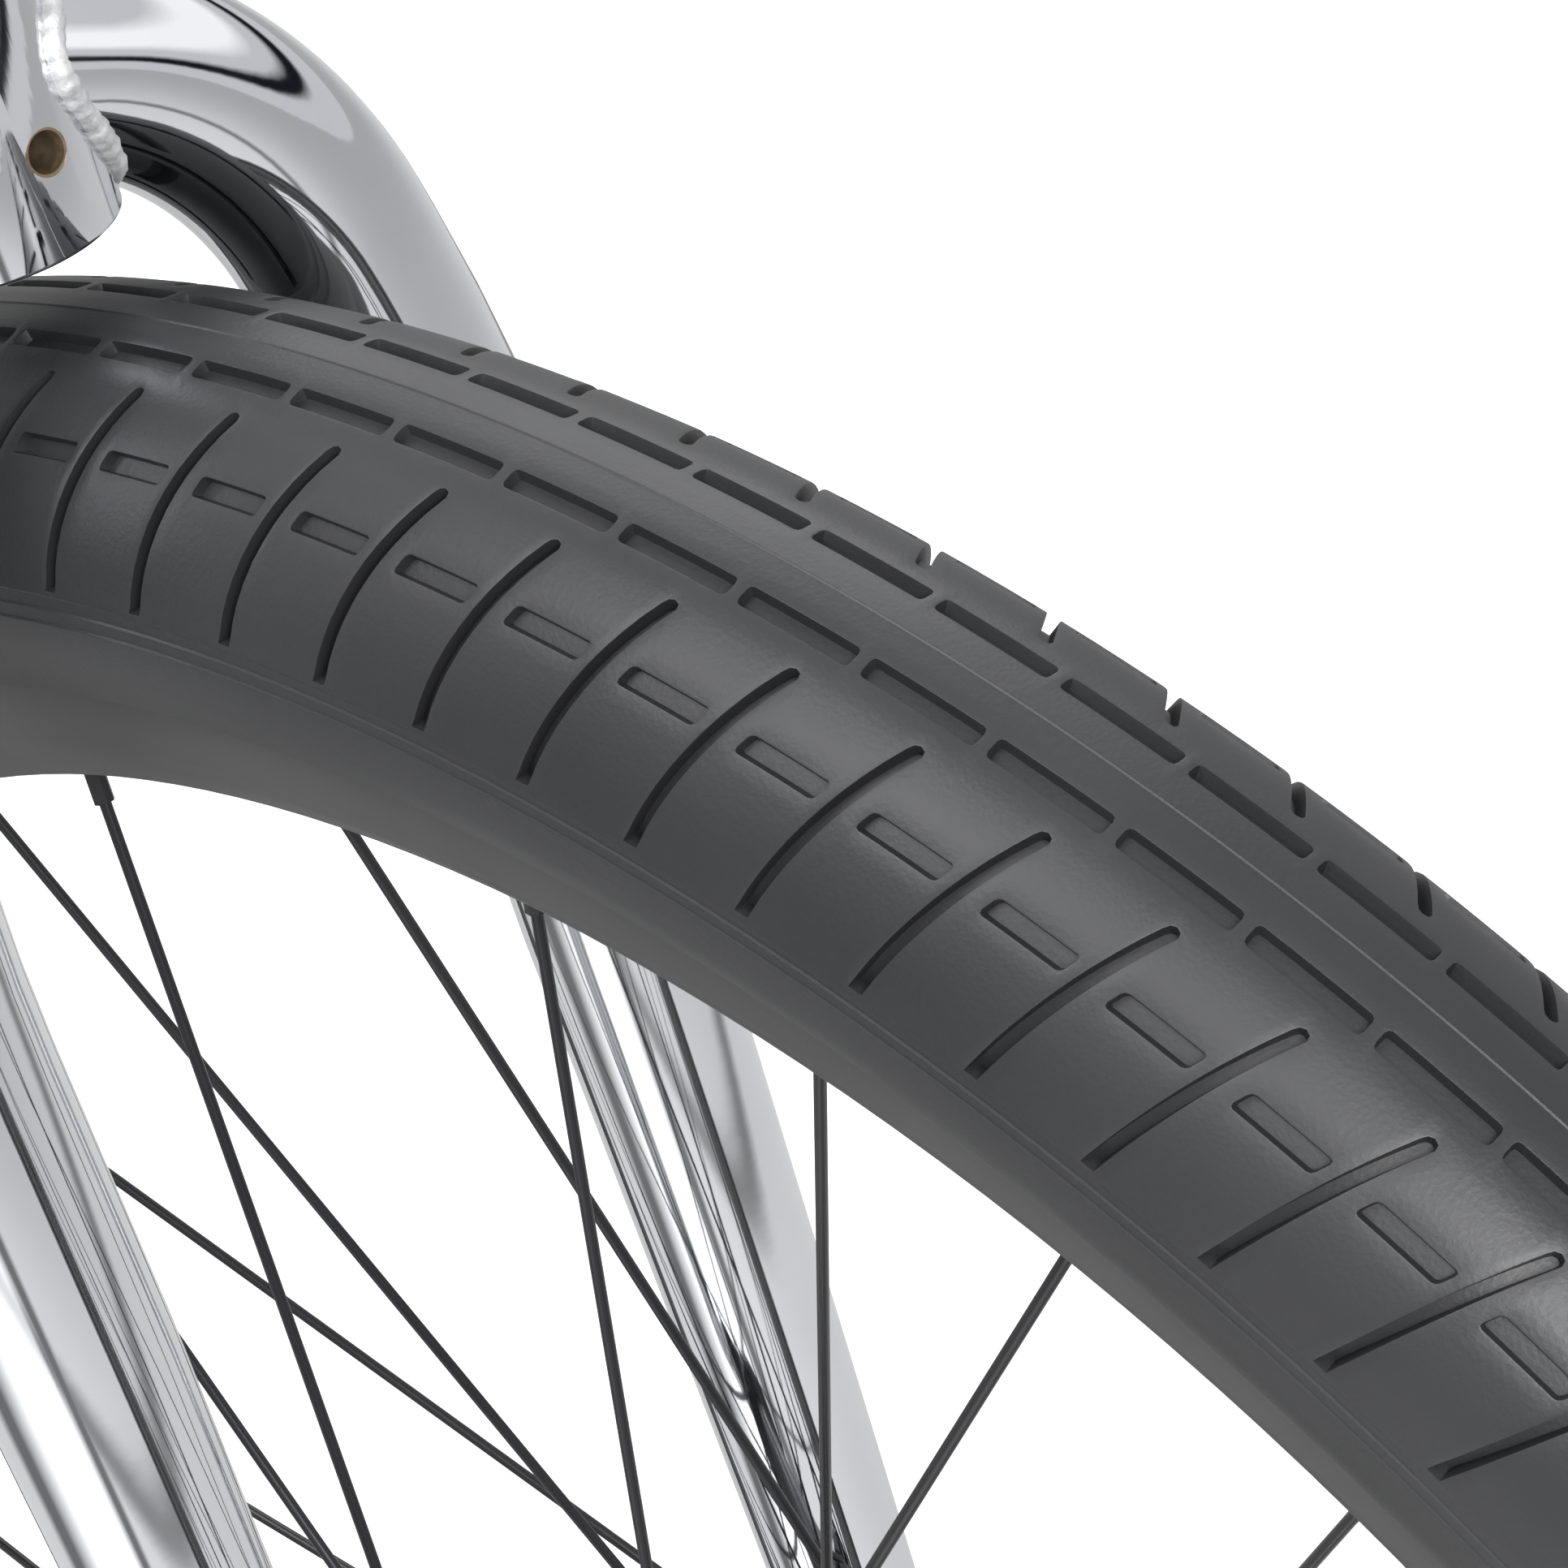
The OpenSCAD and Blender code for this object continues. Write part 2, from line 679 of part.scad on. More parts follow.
core_r = 21.5;
core_len = 15;
module freewheel_cog() {
    color(steel) stay_frame() translate([-stay_len, 0, 0]) difference() {
        union() {
            cross_plate(-chain_line - tooth_t / 2, -chain_line + tooth_t / 2)
                teeth_outline(cog_teeth, cog_pr, 180 / cog_teeth);
            cross_rod(0, 0, -chain_line - 4, -chain_line + 6.5, 26);
        }
        cross_rod(0, 0, -chain_line - 20, -chain_line + 20, core_r + run_gap);
    }
}

// ---- wheels ----
// section of the tyre, drawn with X as the radius and Y across
module tyre_section() {
    flat = flange_top_r + bead_gap;
    foot = rim_w / 2 - rim_wall - bead_gap;
    side = sqrt(pow(tyre_section_r, 2) - pow(tread_centre_r - flat, 2));
    translate([tread_centre_r, 0]) difference() {
        circle(r = tyre_section_r, $fn = 96);
        circle(r = tyre_section_r - tyre_wall, $fn = 96);
        translate([-tyre_section_r - 1, -tyre_section_r - 1])
            square([flat - tread_centre_r + tyre_section_r + 1.5, 2 * tyre_section_r + 2]);
    }
    bead = [[flat + 1.5, side - 0.1], [flat, side - 0.1], [flat, foot], [bead_seat_r + bead_gap, foot],
            [bead_seat_r + bead_gap, foot - 5.6], [bead_seat_r + 4.5, foot - 5.6],
            [flat + 4.5, side - 1.2]];
    polygon(bead);
    polygon([for (k = [len(bead) - 1 : -1 : 0]) [bead[k][0], -bead[k][1]]]);
}

module tyre(p) {
    color(rubber) translate(p) rotate([90, 0, 0])
        rotate_extrude($fn = 144) tyre_section();
}

module inner_tube(p, a) {
    color(rubber) translate(p) rotate([0, a, 0]) difference() {
        union() {
            rotate([90, 0, 0]) rotate_extrude($fn = 144)
                translate([tube_centre_r, 0]) circle(r = tube_section_r);
            translate([bed_r - valve_len, 0, 0]) rotate([0, 90, 0])
                cylinder(h = tube_centre_r - bed_r + valve_len - tube_section_r / 2, r = valve_r);
        }
        rotate([90, 0, 0]) rotate_extrude($fn = 144)
            translate([tube_centre_r, 0]) circle(r = tube_section_r - tube_t);
    }
}

module rim_section() {
    w = rim_w / 2;
    t = rim_wall;
    b = rim_bed_w / 2;
    knee = flange_top_r - 17;
    floor_r = bead_seat_r;
    difference() {
        polygon([[flange_top_r, w], [knee, w], [bed_r, b], [bed_r, -b], [knee, -w], [flange_top_r, -w],
                 [flange_top_r, -w + t], [floor_r, -w + t], [floor_r, w - t], [flange_top_r, w - t]]);
        polygon([[floor_r - t, w - t], [knee + t / 3, w - t], [bed_r + t, b - t / 3],
                 [bed_r + t, -b + t / 3], [knee + t / 3, -w + t], [floor_r - t, -w + t]]);
    }
}

// the spoke from flange side s, hub angle h to the rim angle h + turn, on face f of the flange
hole_gap = 0.25;
spoke_lift = 1.15;                            // an outer spoke passes over the flange's edge
function polar(r, a, y) = [r * cos(a), y, r * sin(a)];
// a hub's lacing: distance of its flanges from the middle plane, and radius of their holes' circle
front_lacing = [front_flange_y, front_hole_r];
rear_lacing = [rear_flange_y, rear_hole_r];
function spoke_in(s, h, f, lacing) = polar(lacing[1], h,
    s * lacing[0] + f * (flange_t / 2 + spoke_r + (s * f > 0 ? spoke_lift : 0.2)));
function spoke_out(s, a) = polar(bed_r + rim_wall + 1, a, s * 1.5);

// all spokes of one wheel as [side, hub angle, rim angle, face]
spoke_list = [for (s = [-1, 1]) for (j = [0 : spokes / 4 - 1]) for (m = [0, 1])
    let (h = spoke_phase + ((s + 1) / 2 + 4 * j + 2 * m) * spoke_step)
    [s, h, h + (m == 0 ? cross_angle : -cross_angle), m == 0 ? 1 : -1]];

module one_spoke(k, lacing) {
    p = spoke_in(k[0], k[1], k[3], lacing);
    q = spoke_out(k[0], k[2]);
    tip = q - 6 * unit(q - p);
    inner_y = k[0] * lacing[0] - k[3] * (flange_t / 2 + 0.1);
    elbow_r = spoke_r + 0.08;
    rod(p, tip, spoke_r, spoke_r);
    cross_rod(p[0], p[2], p[1] + k[3] * (spoke_r + 0.1), inner_y - k[3] * 0.5, elbow_r);
    cross_rod(p[0], p[2], inner_y, inner_y - k[3] * 1.2, spoke_r + 0.9);
}

module one_nipple(k, r, lacing) {
    p = spoke_in(k[0], k[1], k[3], lacing);
    q = spoke_out(k[0], k[2]);
    d = unit(q - p);
    base = q - (nipple_len + rim_wall + 1) * d;
    difference() {
        rod(base, q, r, r);
        rod(base - 3 * d, q - (6 - 0.5) * d, spoke_r + 0.03, spoke_r + 0.03);
    }
}

module rim(p, a, lacing) {
    color(black) translate(p) difference() {
        rotate([90, 0, 0]) rotate_extrude($fn = 144) rim_section();
        for (k = spoke_list) {
            b = spoke_in(k[0], k[1], k[3], lacing);
            q = spoke_out(k[0], k[2]);
            d = unit(q - b);
            rod(q - 12 * d, q + 6 * d, nipple_r + hole_gap, nipple_r + hole_gap);
        }
        rotate([0, a, 0]) translate([bed_r - past, 0, 0]) rotate([0, 90, 0])
            cylinder(h = rim_depth + past, r = valve_r + hole_gap);
    }
}

module rim_strip(p, a) {
    half = rim_w / 2 - rim_wall - 7;
    color(black) translate(p) difference() {
        rotate([90, 0, 0]) rotate_extrude($fn = 144)
            translate([bead_seat_r + eps, -half]) square([strip_t, 2 * half]);
        rotate([0, a, 0]) translate([bed_r, 0, 0]) rotate([0, 90, 0])
            cylinder(h = rim_depth, r = valve_r + hole_gap);
    }
}

module spoke_set(p, lacing) { color(black) translate(p) for (k = spoke_list) one_spoke(k, lacing); }
module nipple_set(p, lacing) {
    color(black) translate(p) for (k = spoke_list) one_nipple(k, nipple_r, lacing);
}

hub_bearing_w = 8;
module hub(p, barrel_r, bearing_r, axle_body_r, left, right, lacing) {
    flange_y = lacing[0];
    hole_r = lacing[1];
    color(black) translate(p) difference() {
        union() {
            cross_rod(0, 0, -right, left, barrel_r);
            for (s = [-1, 1]) {
                cross_rod(0, 0, s * flange_y - flange_t / 2, s * flange_y + flange_t / 2, hole_r + 4);
            }
        }
        cross_rod(0, 0, -right - past, left + past, axle_body_r + 2);
        cross_rod(0, 0, left - hub_bearing_w, left + past, bearing_r);
        cross_rod(0, 0, -right - past, -right + hub_bearing_w, bearing_r);
        for (k = spoke_list) cross_rod(hole_r * cos(k[1]), hole_r * sin(k[1]),
            k[0] * flange_y - flange_t, k[0] * flange_y + flange_t, spoke_r + hole_gap);
    }
}

module hub_bearings(p, bearing_r, axle_body_r, left, right) {
    middles = [left - hub_bearing_w / 2 - eps, -right + hub_bearing_w / 2 + eps];
    color(steel) translate(p) for (y = middles) difference() {
        cross_rod(0, 0, y - hub_bearing_w / 2 + weld_gap, y + hub_bearing_w / 2 - weld_gap,
            bearing_r - run_gap);
        cross_rod(0, 0, y - hub_bearing_w, y + hub_bearing_w, axle_body_r + run_gap);
    }
}

// the valve sits midway between two spokes, at the lowest place that the pattern leaves
valve_angle = 90 - (spoke_phase + spoke_step / 2) % spoke_step;
front_hub_end = front_hub_w / 2 - 4 - side_gap;
rear_hub_left = rear_hub_w / 2 - 4 - side_gap;
rear_hub_right = 36;
front_bearing_r = 11;
rear_bearing_r = 16;

module front_tyre() { tyre(front_axle_p); }
module front_inner_tube() { inner_tube(front_axle_p, valve_angle); }
module front_rim() { rim(front_axle_p, valve_angle, front_lacing); }
module front_rim_strip() { rim_strip(front_axle_p, valve_angle); }
module front_spokes() { spoke_set(front_axle_p, front_lacing); }
module front_nipples() { nipple_set(front_axle_p, front_lacing); }
module front_hub() {
    hub(front_axle_p, front_barrel_r, front_bearing_r, front_body_r, front_hub_end, front_hub_end,
        front_lacing);
}
module front_hub_bearings() {
    hub_bearings(front_axle_p, front_bearing_r, front_body_r, front_hub_end, front_hub_end);
}
module rear_tyre() { tyre(rear_axle_p); }
module rear_inner_tube() { inner_tube(rear_axle_p, valve_angle); }
module rear_rim() { rim(rear_axle_p, valve_angle, rear_lacing); }
module rear_rim_strip() { rim_strip(rear_axle_p, valve_angle); }
module rear_spokes() { spoke_set(rear_axle_p, rear_lacing); }
module rear_nipples() { nipple_set(rear_axle_p, rear_lacing); }
module rear_hub() {
    hub(rear_axle_p, rear_barrel_r, rear_bearing_r, rear_body_r, rear_hub_left, rear_hub_right,
        rear_lacing);
}
module rear_hub_bearings() {
    hub_bearings(rear_axle_p, rear_bearing_r, rear_body_r, rear_hub_left, rear_hub_right);
}

module freewheel_core() {
    color(steel) translate(rear_axle_p) difference() {
        cross_rod(0, 0, -rear_hub_right - eps, -rear_hub_right - core_len + side_gap, core_r);
        cross_rod(0, 0, -rear_hub_right + past, -rear_hub_right - core_len - past, rear_body_r + 4.5);
    }
}

// ---- fork ----
shoulder_cut = crown_bend * tan((shoulder_drop - crown_drop) / 2);
straight_cut = shoulder_bend * tan((90 - shoulder_drop) / 2);
shoulder_link = 4;                            // straight stretch between the two bends
shoulder_len = shoulder_cut + straight_cut + shoulder_link;
corner_y = leg_y - shoulder_len * cos(shoulder_drop);
corner_a = crown_meet - corner_y * tan(crown_drop);
knee_a = corner_a - shoulder_len * sin(shoulder_drop);
leg_start = 1;                                // a leg is coped round the crown tube from here
crown_r = leg_r + weld_gap;
leg_path = [[0, leg_start, crown_meet - leg_start * tan(crown_drop)], [0, corner_y, corner_a],
            [0, leg_y, knee_a], [0, leg_y, taper_start - slip]];
leg_bends = [crown_bend, shoulder_bend];
leg_low = 24;
leg_wall = 1.6;

module leg_bar(less) {
    bent_rod(leg_path, leg_bends, leg_r - less);
    rod([0, leg_y, taper_start], [0, leg_y, leg_low], leg_r - less, leg_end_r - less);
}

module crown_solid(extra) {
    translate([0, 0, crown_low - extra]) cylinder(h = race_low - crown_low + 2 * extra, r = crown_r + extra);
}

module fork_legs() {
    color(chrome) steering_frame() both_sides() difference() {
        leg_bar(0);
        leg_bar(leg_wall);
        crown_solid(weld_gap);
        // slot for the dropout, open towards the wheel
        cross_plate(fork_dropout_y - 4, fork_dropout_y + dropout_t + weld_gap) fork_dropout_outline();
    }
}

module steerer() {
    color(chrome) steering_frame() difference() {
        union() {
            crown_solid(0);
            translate([0, 0, race_low - eps]) cylinder(h = steerer_top - race_low, r = steerer_r);
        }
        translate([0, 0, crown_low - past]) cylinder(h = steerer_top, r = steerer_r - steerer_wall);
        translate([-crown_r - past, 0, crown_low + 15]) rotate([0, 90, 0])
            cylinder(h = 2 * (crown_r + past), r = crown_hole_r);
    }
}

// fork dropout: a plate from the leg's end forward to the axle, slotted from below
fork_dropout_y = front_hub_w / 2;
module fork_dropout_outline() {
    s = front_axle_r + 0.1;
    difference() {
        union() {
            translate([rake, 0]) circle(r = 15);
            polygon([[-11, leg_low + 34], [11, leg_low + 34], [13, leg_low + 6],
                     [rake + 13.5, 6], [rake + 4, -14], [rake - 12, -9], [-12, leg_low - 6]]);
        }
        translate([rake, 0]) circle(r = s);
        translate([rake - s, -40]) square([2 * s, 40]);
    }
}
module fork_dropout_plate(extra) {
    cross_plate(fork_dropout_y - extra, fork_dropout_y + dropout_t + extra) fork_dropout_outline();
}
module fork_dropouts() { color(chrome) steering_frame() both_sides() fork_dropout_plate(0); }

module crown_race() {
    color(steel) steering_frame() difference() {
        translate([0, 0, race_low + eps]) cylinder(h = race_t, r = bearing_r - 1.5);
        translate([0, 0, race_low - past]) cylinder(h = race_t + 2 * past, r = steerer_r + run_gap);
    }
}

module headset_spacers() {
    z = head_high + side_gap;
    color(black) steering_frame() difference() {
        union() {
            translate([0, 0, z]) cylinder(h = cover_t, r1 = head_r, r2 = steerer_r + 4);
            translate([0, 0, z + cover_t + eps]) cylinder(h = spacer_t - 2 * eps, r = steerer_r + 3.2);
        }
        translate([0, 0, z - past]) cylinder(h = cover_t + spacer_t + 2 * past, r = steerer_r + run_gap);
    }
}

stem_r = steerer_r + 5.2;
clamp_r = bar_r + 6.5;
split_gap = 1.2;
module stem() {
    color(black) steering_frame() difference() {
        union() {
            translate([0, 0, stem_low]) cylinder(h = stem_h, r = stem_r);
            translate([0, -clamp_w / 2, stem_low]) cube([stem_reach - split_gap / 2, clamp_w, stem_h]);
            translate([-stem_r - 7, -11, stem_low + 3]) cube([14, 22, stem_h - 6]);
        }
        translate([0, 0, stem_low - past]) cylinder(h = stem_h + 2 * past, r = steerer_r + run_gap);
        cross_rod(stem_reach, clamp_a, -clamp_w, clamp_w, bar_r + run_gap);
        // lightening pockets beside the steerer clamp
        both_sides() translate([stem_r * 0.35, clamp_w / 2 - 4, stem_low - past])
            cube([9, past + 4, stem_h + 2 * past]);
        // slit and pinch bolt holes
        translate([-stem_r - past - 7, -1, stem_low - past]) cube([stem_r + past, 2, stem_h + 2 * past]);
        for (z = pinch_z) cross_rod(-stem_r - 1.5, z, -20, 20, stem_bolt_r + run_gap);
        stem_bolt_holes(stem_reach - 24);
    }
}
stem_bolt_r = 3;
pinch_z = [stem_low + 11, stem_high - 11];
bolt_y = [-clamp_w / 2 + 7, clamp_w / 2 - 7];
bolt_z = [clamp_a - bar_r - 5.2, clamp_a + bar_r + 5.2];
module stem_bolt_holes(x) {
    for (y = bolt_y, z = bolt_z)
        translate([x, y, z]) rotate([0, 90, 0]) cylinder(h = 40, r = stem_bolt_r + run_gap);
}

plate_out = 17;
module stem_face_plate() {
    color(black) steering_frame() difference() {
        translate([stem_reach + split_gap / 2, -clamp_w / 2, stem_low]) cube([plate_out, clamp_w, stem_h]);
        cross_rod(stem_reach, clamp_a, -clamp_w, clamp_w, bar_r + run_gap);
        stem_bolt_holes(stem_reach - 10);
    }
}

module cap_screw(len, r) {
    cylinder(h = len, r = r);
    translate([0, 0, len]) difference() {
        cylinder(h = 2 * r - 1, r = 1.7 * r);
        translate([0, 0, r]) cylinder(h = 2 * r, r = r, $fn = 6);
    }
}

module stem_bolts() {
    color(steel) steering_frame() {
        for (y = bolt_y, z = bolt_z) translate([stem_reach - 20, y, z]) rotate([0, 90, 0])
            cap_screw(20 + split_gap / 2 + plate_out, 3);
        for (z = pinch_z) translate([-stem_r - 1.5, -11, z]) rotate([-90, 0, 0]) cap_screw(22, 3);
        translate([0, 0, stem_high - 26]) cap_screw(26 + cap_t, 3);
    }
}

module top_cap() {
    color(black) steering_frame() difference() {
        translate([0, 0, stem_high + eps]) cylinder(h = cap_t - eps, r1 = stem_r - 1, r2 = stem_r - 3);
        translate([0, 0, stem_high - past]) cylinder(h = cap_t + 2 * past, r = 3.05);
    }
}

// ---- bars, in the steering frame with the clamp's centre as origin ----
bend_y = 55;
rise_y = 140;
grip_run = bar_w / 2 - rise_y;
bar_end = [-grip_run * tan(bar_sweep), bar_w / 2, bar_rise + 8];
bar_path = [[0, 0, 0], [0, bend_y, 0], [0, rise_y, bar_rise], bar_end];
bar_bends = [45, 50];
grip_dir = unit(bar_end - bar_path[2]);
module bars_frame() { steering_frame() translate([stem_reach, 0, clamp_a]) children(); }

module handlebar() {
    color(chrome) bars_frame() difference() {
        both_sides() bent_rod(bar_path, bar_bends, bar_r);
        both_sides() bent_rod(bar_path, bar_bends, bar_r - bar_wall);
    }
}

module crossbar() {
    color(chrome) bars_frame() difference() {
        cross_rod(0, crossbar_h, -rise_y, rise_y, crossbar_r);
        cross_rod(0, crossbar_h, -rise_y - 1, rise_y + 1, crossbar_r - tube_wall);
        both_sides() {
            bent_rod(bar_path, bar_bends, bar_r + weld_gap);
            // what would stick out beyond the rise tube
            y = bend_y + crossbar_h / bar_rise * (rise_y - bend_y);
            translate([-20, y + 3, crossbar_h - 20]) cube([40, 60, 40]);
        }
    }
}

plug_t = 5;
module grips() {
    color(rubber) bars_frame() both_sides() difference() {
        rod(bar_end - grip_len * grip_dir, bar_end, grip_r, grip_r);
        rod(bar_end - (grip_len + past) * grip_dir, bar_end + past * grip_dir,
            bar_r + run_gap, bar_r + run_gap);
    }
}

module bar_end_plugs() {
    color(black) bars_frame() both_sides() {
        rod(bar_end + eps * grip_dir, bar_end + plug_t * grip_dir, grip_r, grip_r - 2);
        rod(bar_end - 18 * grip_dir, bar_end + 1 * grip_dir, bar_r - bar_wall - 0.1, bar_r - bar_wall - 0.1);
    }
}

// ---- cranks and pedals: the right arm points forward, the left arm back ----
boss_r = 17;
pedal_boss_r = 14;
boss_in = chain_line + tooth_t / 2 + 3 + 0.05;
arm_in = crank_face - crank_t;
module arm(dir, in) {
    x = dir * crank_len;
    difference() {
        union() {
            cross_rod(bb_x, bb_h, in, crank_face, boss_r);
            cross_rod(bb_x + x, bb_h, arm_in, crank_face, pedal_boss_r);
            cross_plate(arm_in, crank_face) translate([bb_x, bb_h])
                polygon([[0, -13], [x, -10.5], [x, 10.5], [0, 13]]);
            if (dir > 0) cross_rod(bb_x + bolt_circle, bb_h, boss_in, crank_face, 8);
        }
        cross_rod(bb_x, bb_h, 0, crank_face + past, spindle_r + run_gap);
        cross_rod(bb_x + x, bb_h, 0, crank_face + past, pedal_thread_r + run_gap);
        if (dir > 0) cross_rod(bb_x + bolt_circle, bb_h, 0, crank_face - 6, sprocket_bolt_r + run_gap);
    }
}
crank_bolt_r = 5;
crank_bolt_len = 28;
crank_cap_r = 14;
crank_cap_t = 4;
crank_socket = 3;
sprocket_head_r = 6.5;
sprocket_head_t = 3;
pedal_thread_r = 7.1;
pedal_axle_r = 5;

module crank_arms() {
    color(chrome) {
        mirror([0, 1, 0]) arm(1, boss_in);
        arm(-1, bb_shell_w / 2 + 8);
    }
}

module crank_spindle() {
    color(steel) difference() {
        cross_rod(bb_x, bb_h, -crank_face + 2, crank_face - 2, spindle_r);
        both_sides() cross_rod(bb_x, bb_h, crank_face - crank_bolt_len - 4, crank_face,
            crank_bolt_r + weld_gap);
    }
}

module crank_bolts() {
    color(steel) {
        both_sides() {
            cross_rod(bb_x, bb_h, crank_face - crank_bolt_len, crank_face + eps, crank_bolt_r);
            difference() {
                cross_rod(bb_x, bb_h, crank_face + eps, crank_face + crank_cap_t, crank_cap_r);
                translate([bb_x, crank_face + crank_cap_t + past, bb_h]) rotate([90, 0, 0])
                    cylinder(h = crank_socket + past, r = crank_bolt_r, $fn = 6);
            }
        }
        head = -chain_line + tooth_t / 2 + weld_gap;
        cross_rod(bb_x + bolt_circle, bb_h, head, -crank_face + 8, sprocket_bolt_r);
        cross_rod(bb_x + bolt_circle, bb_h, head, head + sprocket_head_t, sprocket_head_r);
    }
}

pedal_in = crank_face + 4;
pedal_out = pedal_in + pedal_w;
module pedal_axles() {
    color(steel) for (s = [-1, 1]) {
        x = bb_x - s * crank_len;
        union() {
            cross_rod(x, bb_h, s * (arm_in + 1), s * (crank_face + eps), pedal_thread_r);
            cross_rod(x, bb_h, s * (crank_face + eps), s * (pedal_in - side_gap), 9);
            cross_rod(x, bb_h, s * (crank_face), s * (pedal_out - 6), pedal_axle_r);
        }
    }
}

pin_dia = 3;
pin_out = 4;
module pedal(x, s) {
    h = pedal_t / 2;
    color(black) difference() {
        union() {
            cross_plate(s * pedal_in, s * pedal_out) translate([x, bb_h])
                square([24, pedal_t], center = true);
            for (y = [pedal_in, pedal_in + pedal_w / 2 - 5, pedal_out - 10])
                cross_plate(s * y, s * (y + 10)) translate([x, bb_h])
                    square([pedal_l - 16, pedal_t - 1], center = true);
            for (k = [-1, 1]) cross_plate(s * pedal_in, s * pedal_out)
                translate([x + k * (pedal_l / 2 - 8), bb_h]) {
                    square([16 - 2 * 3, pedal_t], center = true);
                    translate([k * 2, 0]) circle(r = 6);
                }
            for (y = [pedal_in + 5, pedal_in + pedal_w / 2, pedal_out - 5], k = [-1, -0.5, 0.5, 1])
                translate([x + k * (pedal_l / 2 - 10), s * y, bb_h - h - pin_out])
                    cylinder(h = pedal_t + 2 * pin_out, r = pin_dia / 2, $fn = 16);
        }
        cross_rod(x, bb_h, s * (pedal_in - past), s * (pedal_out - 5), pedal_axle_r + run_gap);
    }
}
module left_pedal() { pedal(bb_x - crank_len, 1); }
module right_pedal() { pedal(bb_x + crank_len, -1); }

// ---- seat, in the seat tube's frame ----
head_s = seat_tube_len + post_out;            // height of the tilt axis
pivot_r = 16;
pivot_w = 30;
seat_bolt_r = 4;
post_bore = post_r - 2.4;
slot_l = 22;
slot_deep = 14;
bolt_low = 13;                                // how far the seat bolt reaches below the tilt axis
module seat_post() {
    color(black) seat_tube_frame() difference() {
        union() {
            translate([0, 0, seat_tube_len - post_in]) cylinder(h = post_in + post_out, r = post_r);
            cross_rod(0, head_s, -pivot_w / 2, pivot_w / 2, pivot_r);
        }
        translate([0, 0, seat_tube_len - post_in - past])
            cylinder(h = post_in + post_out - pivot_r, r = post_bore);
        translate([0, 0, head_s - pivot_r - past - 10]) cylinder(h = pivot_r + 10, r = 9.2);
        // slot that lets the seat bolt tilt
        translate([-slot_l / 2, -seat_bolt_r - 0.4, head_s - slot_deep])
            cube([slot_l, 2 * (seat_bolt_r + 0.4), slot_deep + pivot_r + past]);
    }
}

base_t = 5;
base_z = pivot_r + side_gap + 4;
// the seat's own frame: origin on the tilt axis, X forward, nose a little up
module seat_frame() { translate(on_seat_tube(head_s)) rotate([0, -8, 0]) children(); }

seat_back = -105;
module seat_outline(less) {
    w = seat_w / 2 - less;
    n = nose_w / 2 - less;
    nose_x = seat_back + seat_l - nose_w / 2;
    translate([seat_back + seat_w / 2, 0]) circle(r = w);
    translate([nose_x, 0]) circle(r = n);
    tail_x = seat_back + seat_w / 2;
    hip_x = seat_back + seat_w * 0.85;
    polygon([[tail_x, -w], [hip_x, -w * 0.93], [nose_x - 60, -n - 8], [nose_x, -n],
             [nose_x, n], [nose_x - 60, n + 8], [hip_x, w * 0.93], [tail_x, w]]);
}

module seat_base() {
    color(black) seat_frame() difference() {
        union() {
            translate([0, 0, base_z]) linear_extrude(height = base_t) seat_outline(3);
            translate([-24, -pivot_w / 2 - 5, 4]) cube([48, pivot_w + 10, base_z - 4 + eps]);
        }
        cross_rod(0, 0, -pivot_w / 2 - side_gap, pivot_w / 2 + side_gap, pivot_r + side_gap);
        translate([0, 0, -past]) cylinder(h = 60, r = seat_bolt_r + run_gap);
        // room for the post under the saddle block
        translate([-30, -pivot_w, -30]) cube([60, 2 * pivot_w, 34]);
        translate([0, 0, base_z + base_t - 3]) cylinder(h = 20, r = 8.5);
    }
}

module seat_pad() {
    low = base_z + base_t + side_gap;
    color([0.1, 0.1, 0.11]) seat_frame() difference() {
        hull() {
            translate([0, 0, low]) linear_extrude(height = 4) seat_outline(0);
            translate([0, 0, low + pad_t - 4]) linear_extrude(height = 4) seat_outline(8);
        }
        translate([0, 0, 0]) cylinder(h = base_z + base_t + pad_t + 20, r = 8.5);
    }
}

module seat_bolt() {
    top = base_z + base_t - 3;
    color(steel) seat_frame() difference() {
        union() {
            translate([0, 0, -bolt_low]) cylinder(h = top + bolt_low, r = seat_bolt_r);
            translate([0, 0, top]) cylinder(h = 5, r = 7);
        }
        translate([0, 0, top + 2]) cylinder(h = 10, r = 3.4, $fn = 6);
    }
}

head_tube();
top_tube();
down_tube();
seat_tube();
bb_shell();
chain_stays();
seat_stays();
stay_bridges();
rear_dropouts();
seat_clamp();
seat_clamp_bolt();
headset_bearings();
bb_bearings();
rear_axle();
rear_axle_nuts();
chain();
steerer();
fork_legs();
fork_dropouts();
crown_race();
headset_spacers();
stem();
stem_face_plate();
stem_bolts();
top_cap();
front_axle();
front_axle_nuts();
handlebar();
crossbar();
grips();
bar_end_plugs();
front_tyre();
front_inner_tube();
front_rim();
front_rim_strip();
front_spokes();
front_nipples();
front_hub();
front_hub_bearings();
rear_tyre();
rear_inner_tube();
rear_rim();
rear_rim_strip();
rear_spokes();
rear_nipples();
rear_hub();
rear_hub_bearings();
freewheel_core();
freewheel_cog();
crank_spindle();
crank_arms();
crank_bolts();
sprocket();
pedal_axles();
left_pedal();
right_pedal();
seat_post();
seat_base();
seat_pad();
seat_bolt();
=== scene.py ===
import json
import math
import random
from math import sin, cos, tan, pi, radians, degrees
import bmesh
import bpy
from mathutils import Matrix, Vector


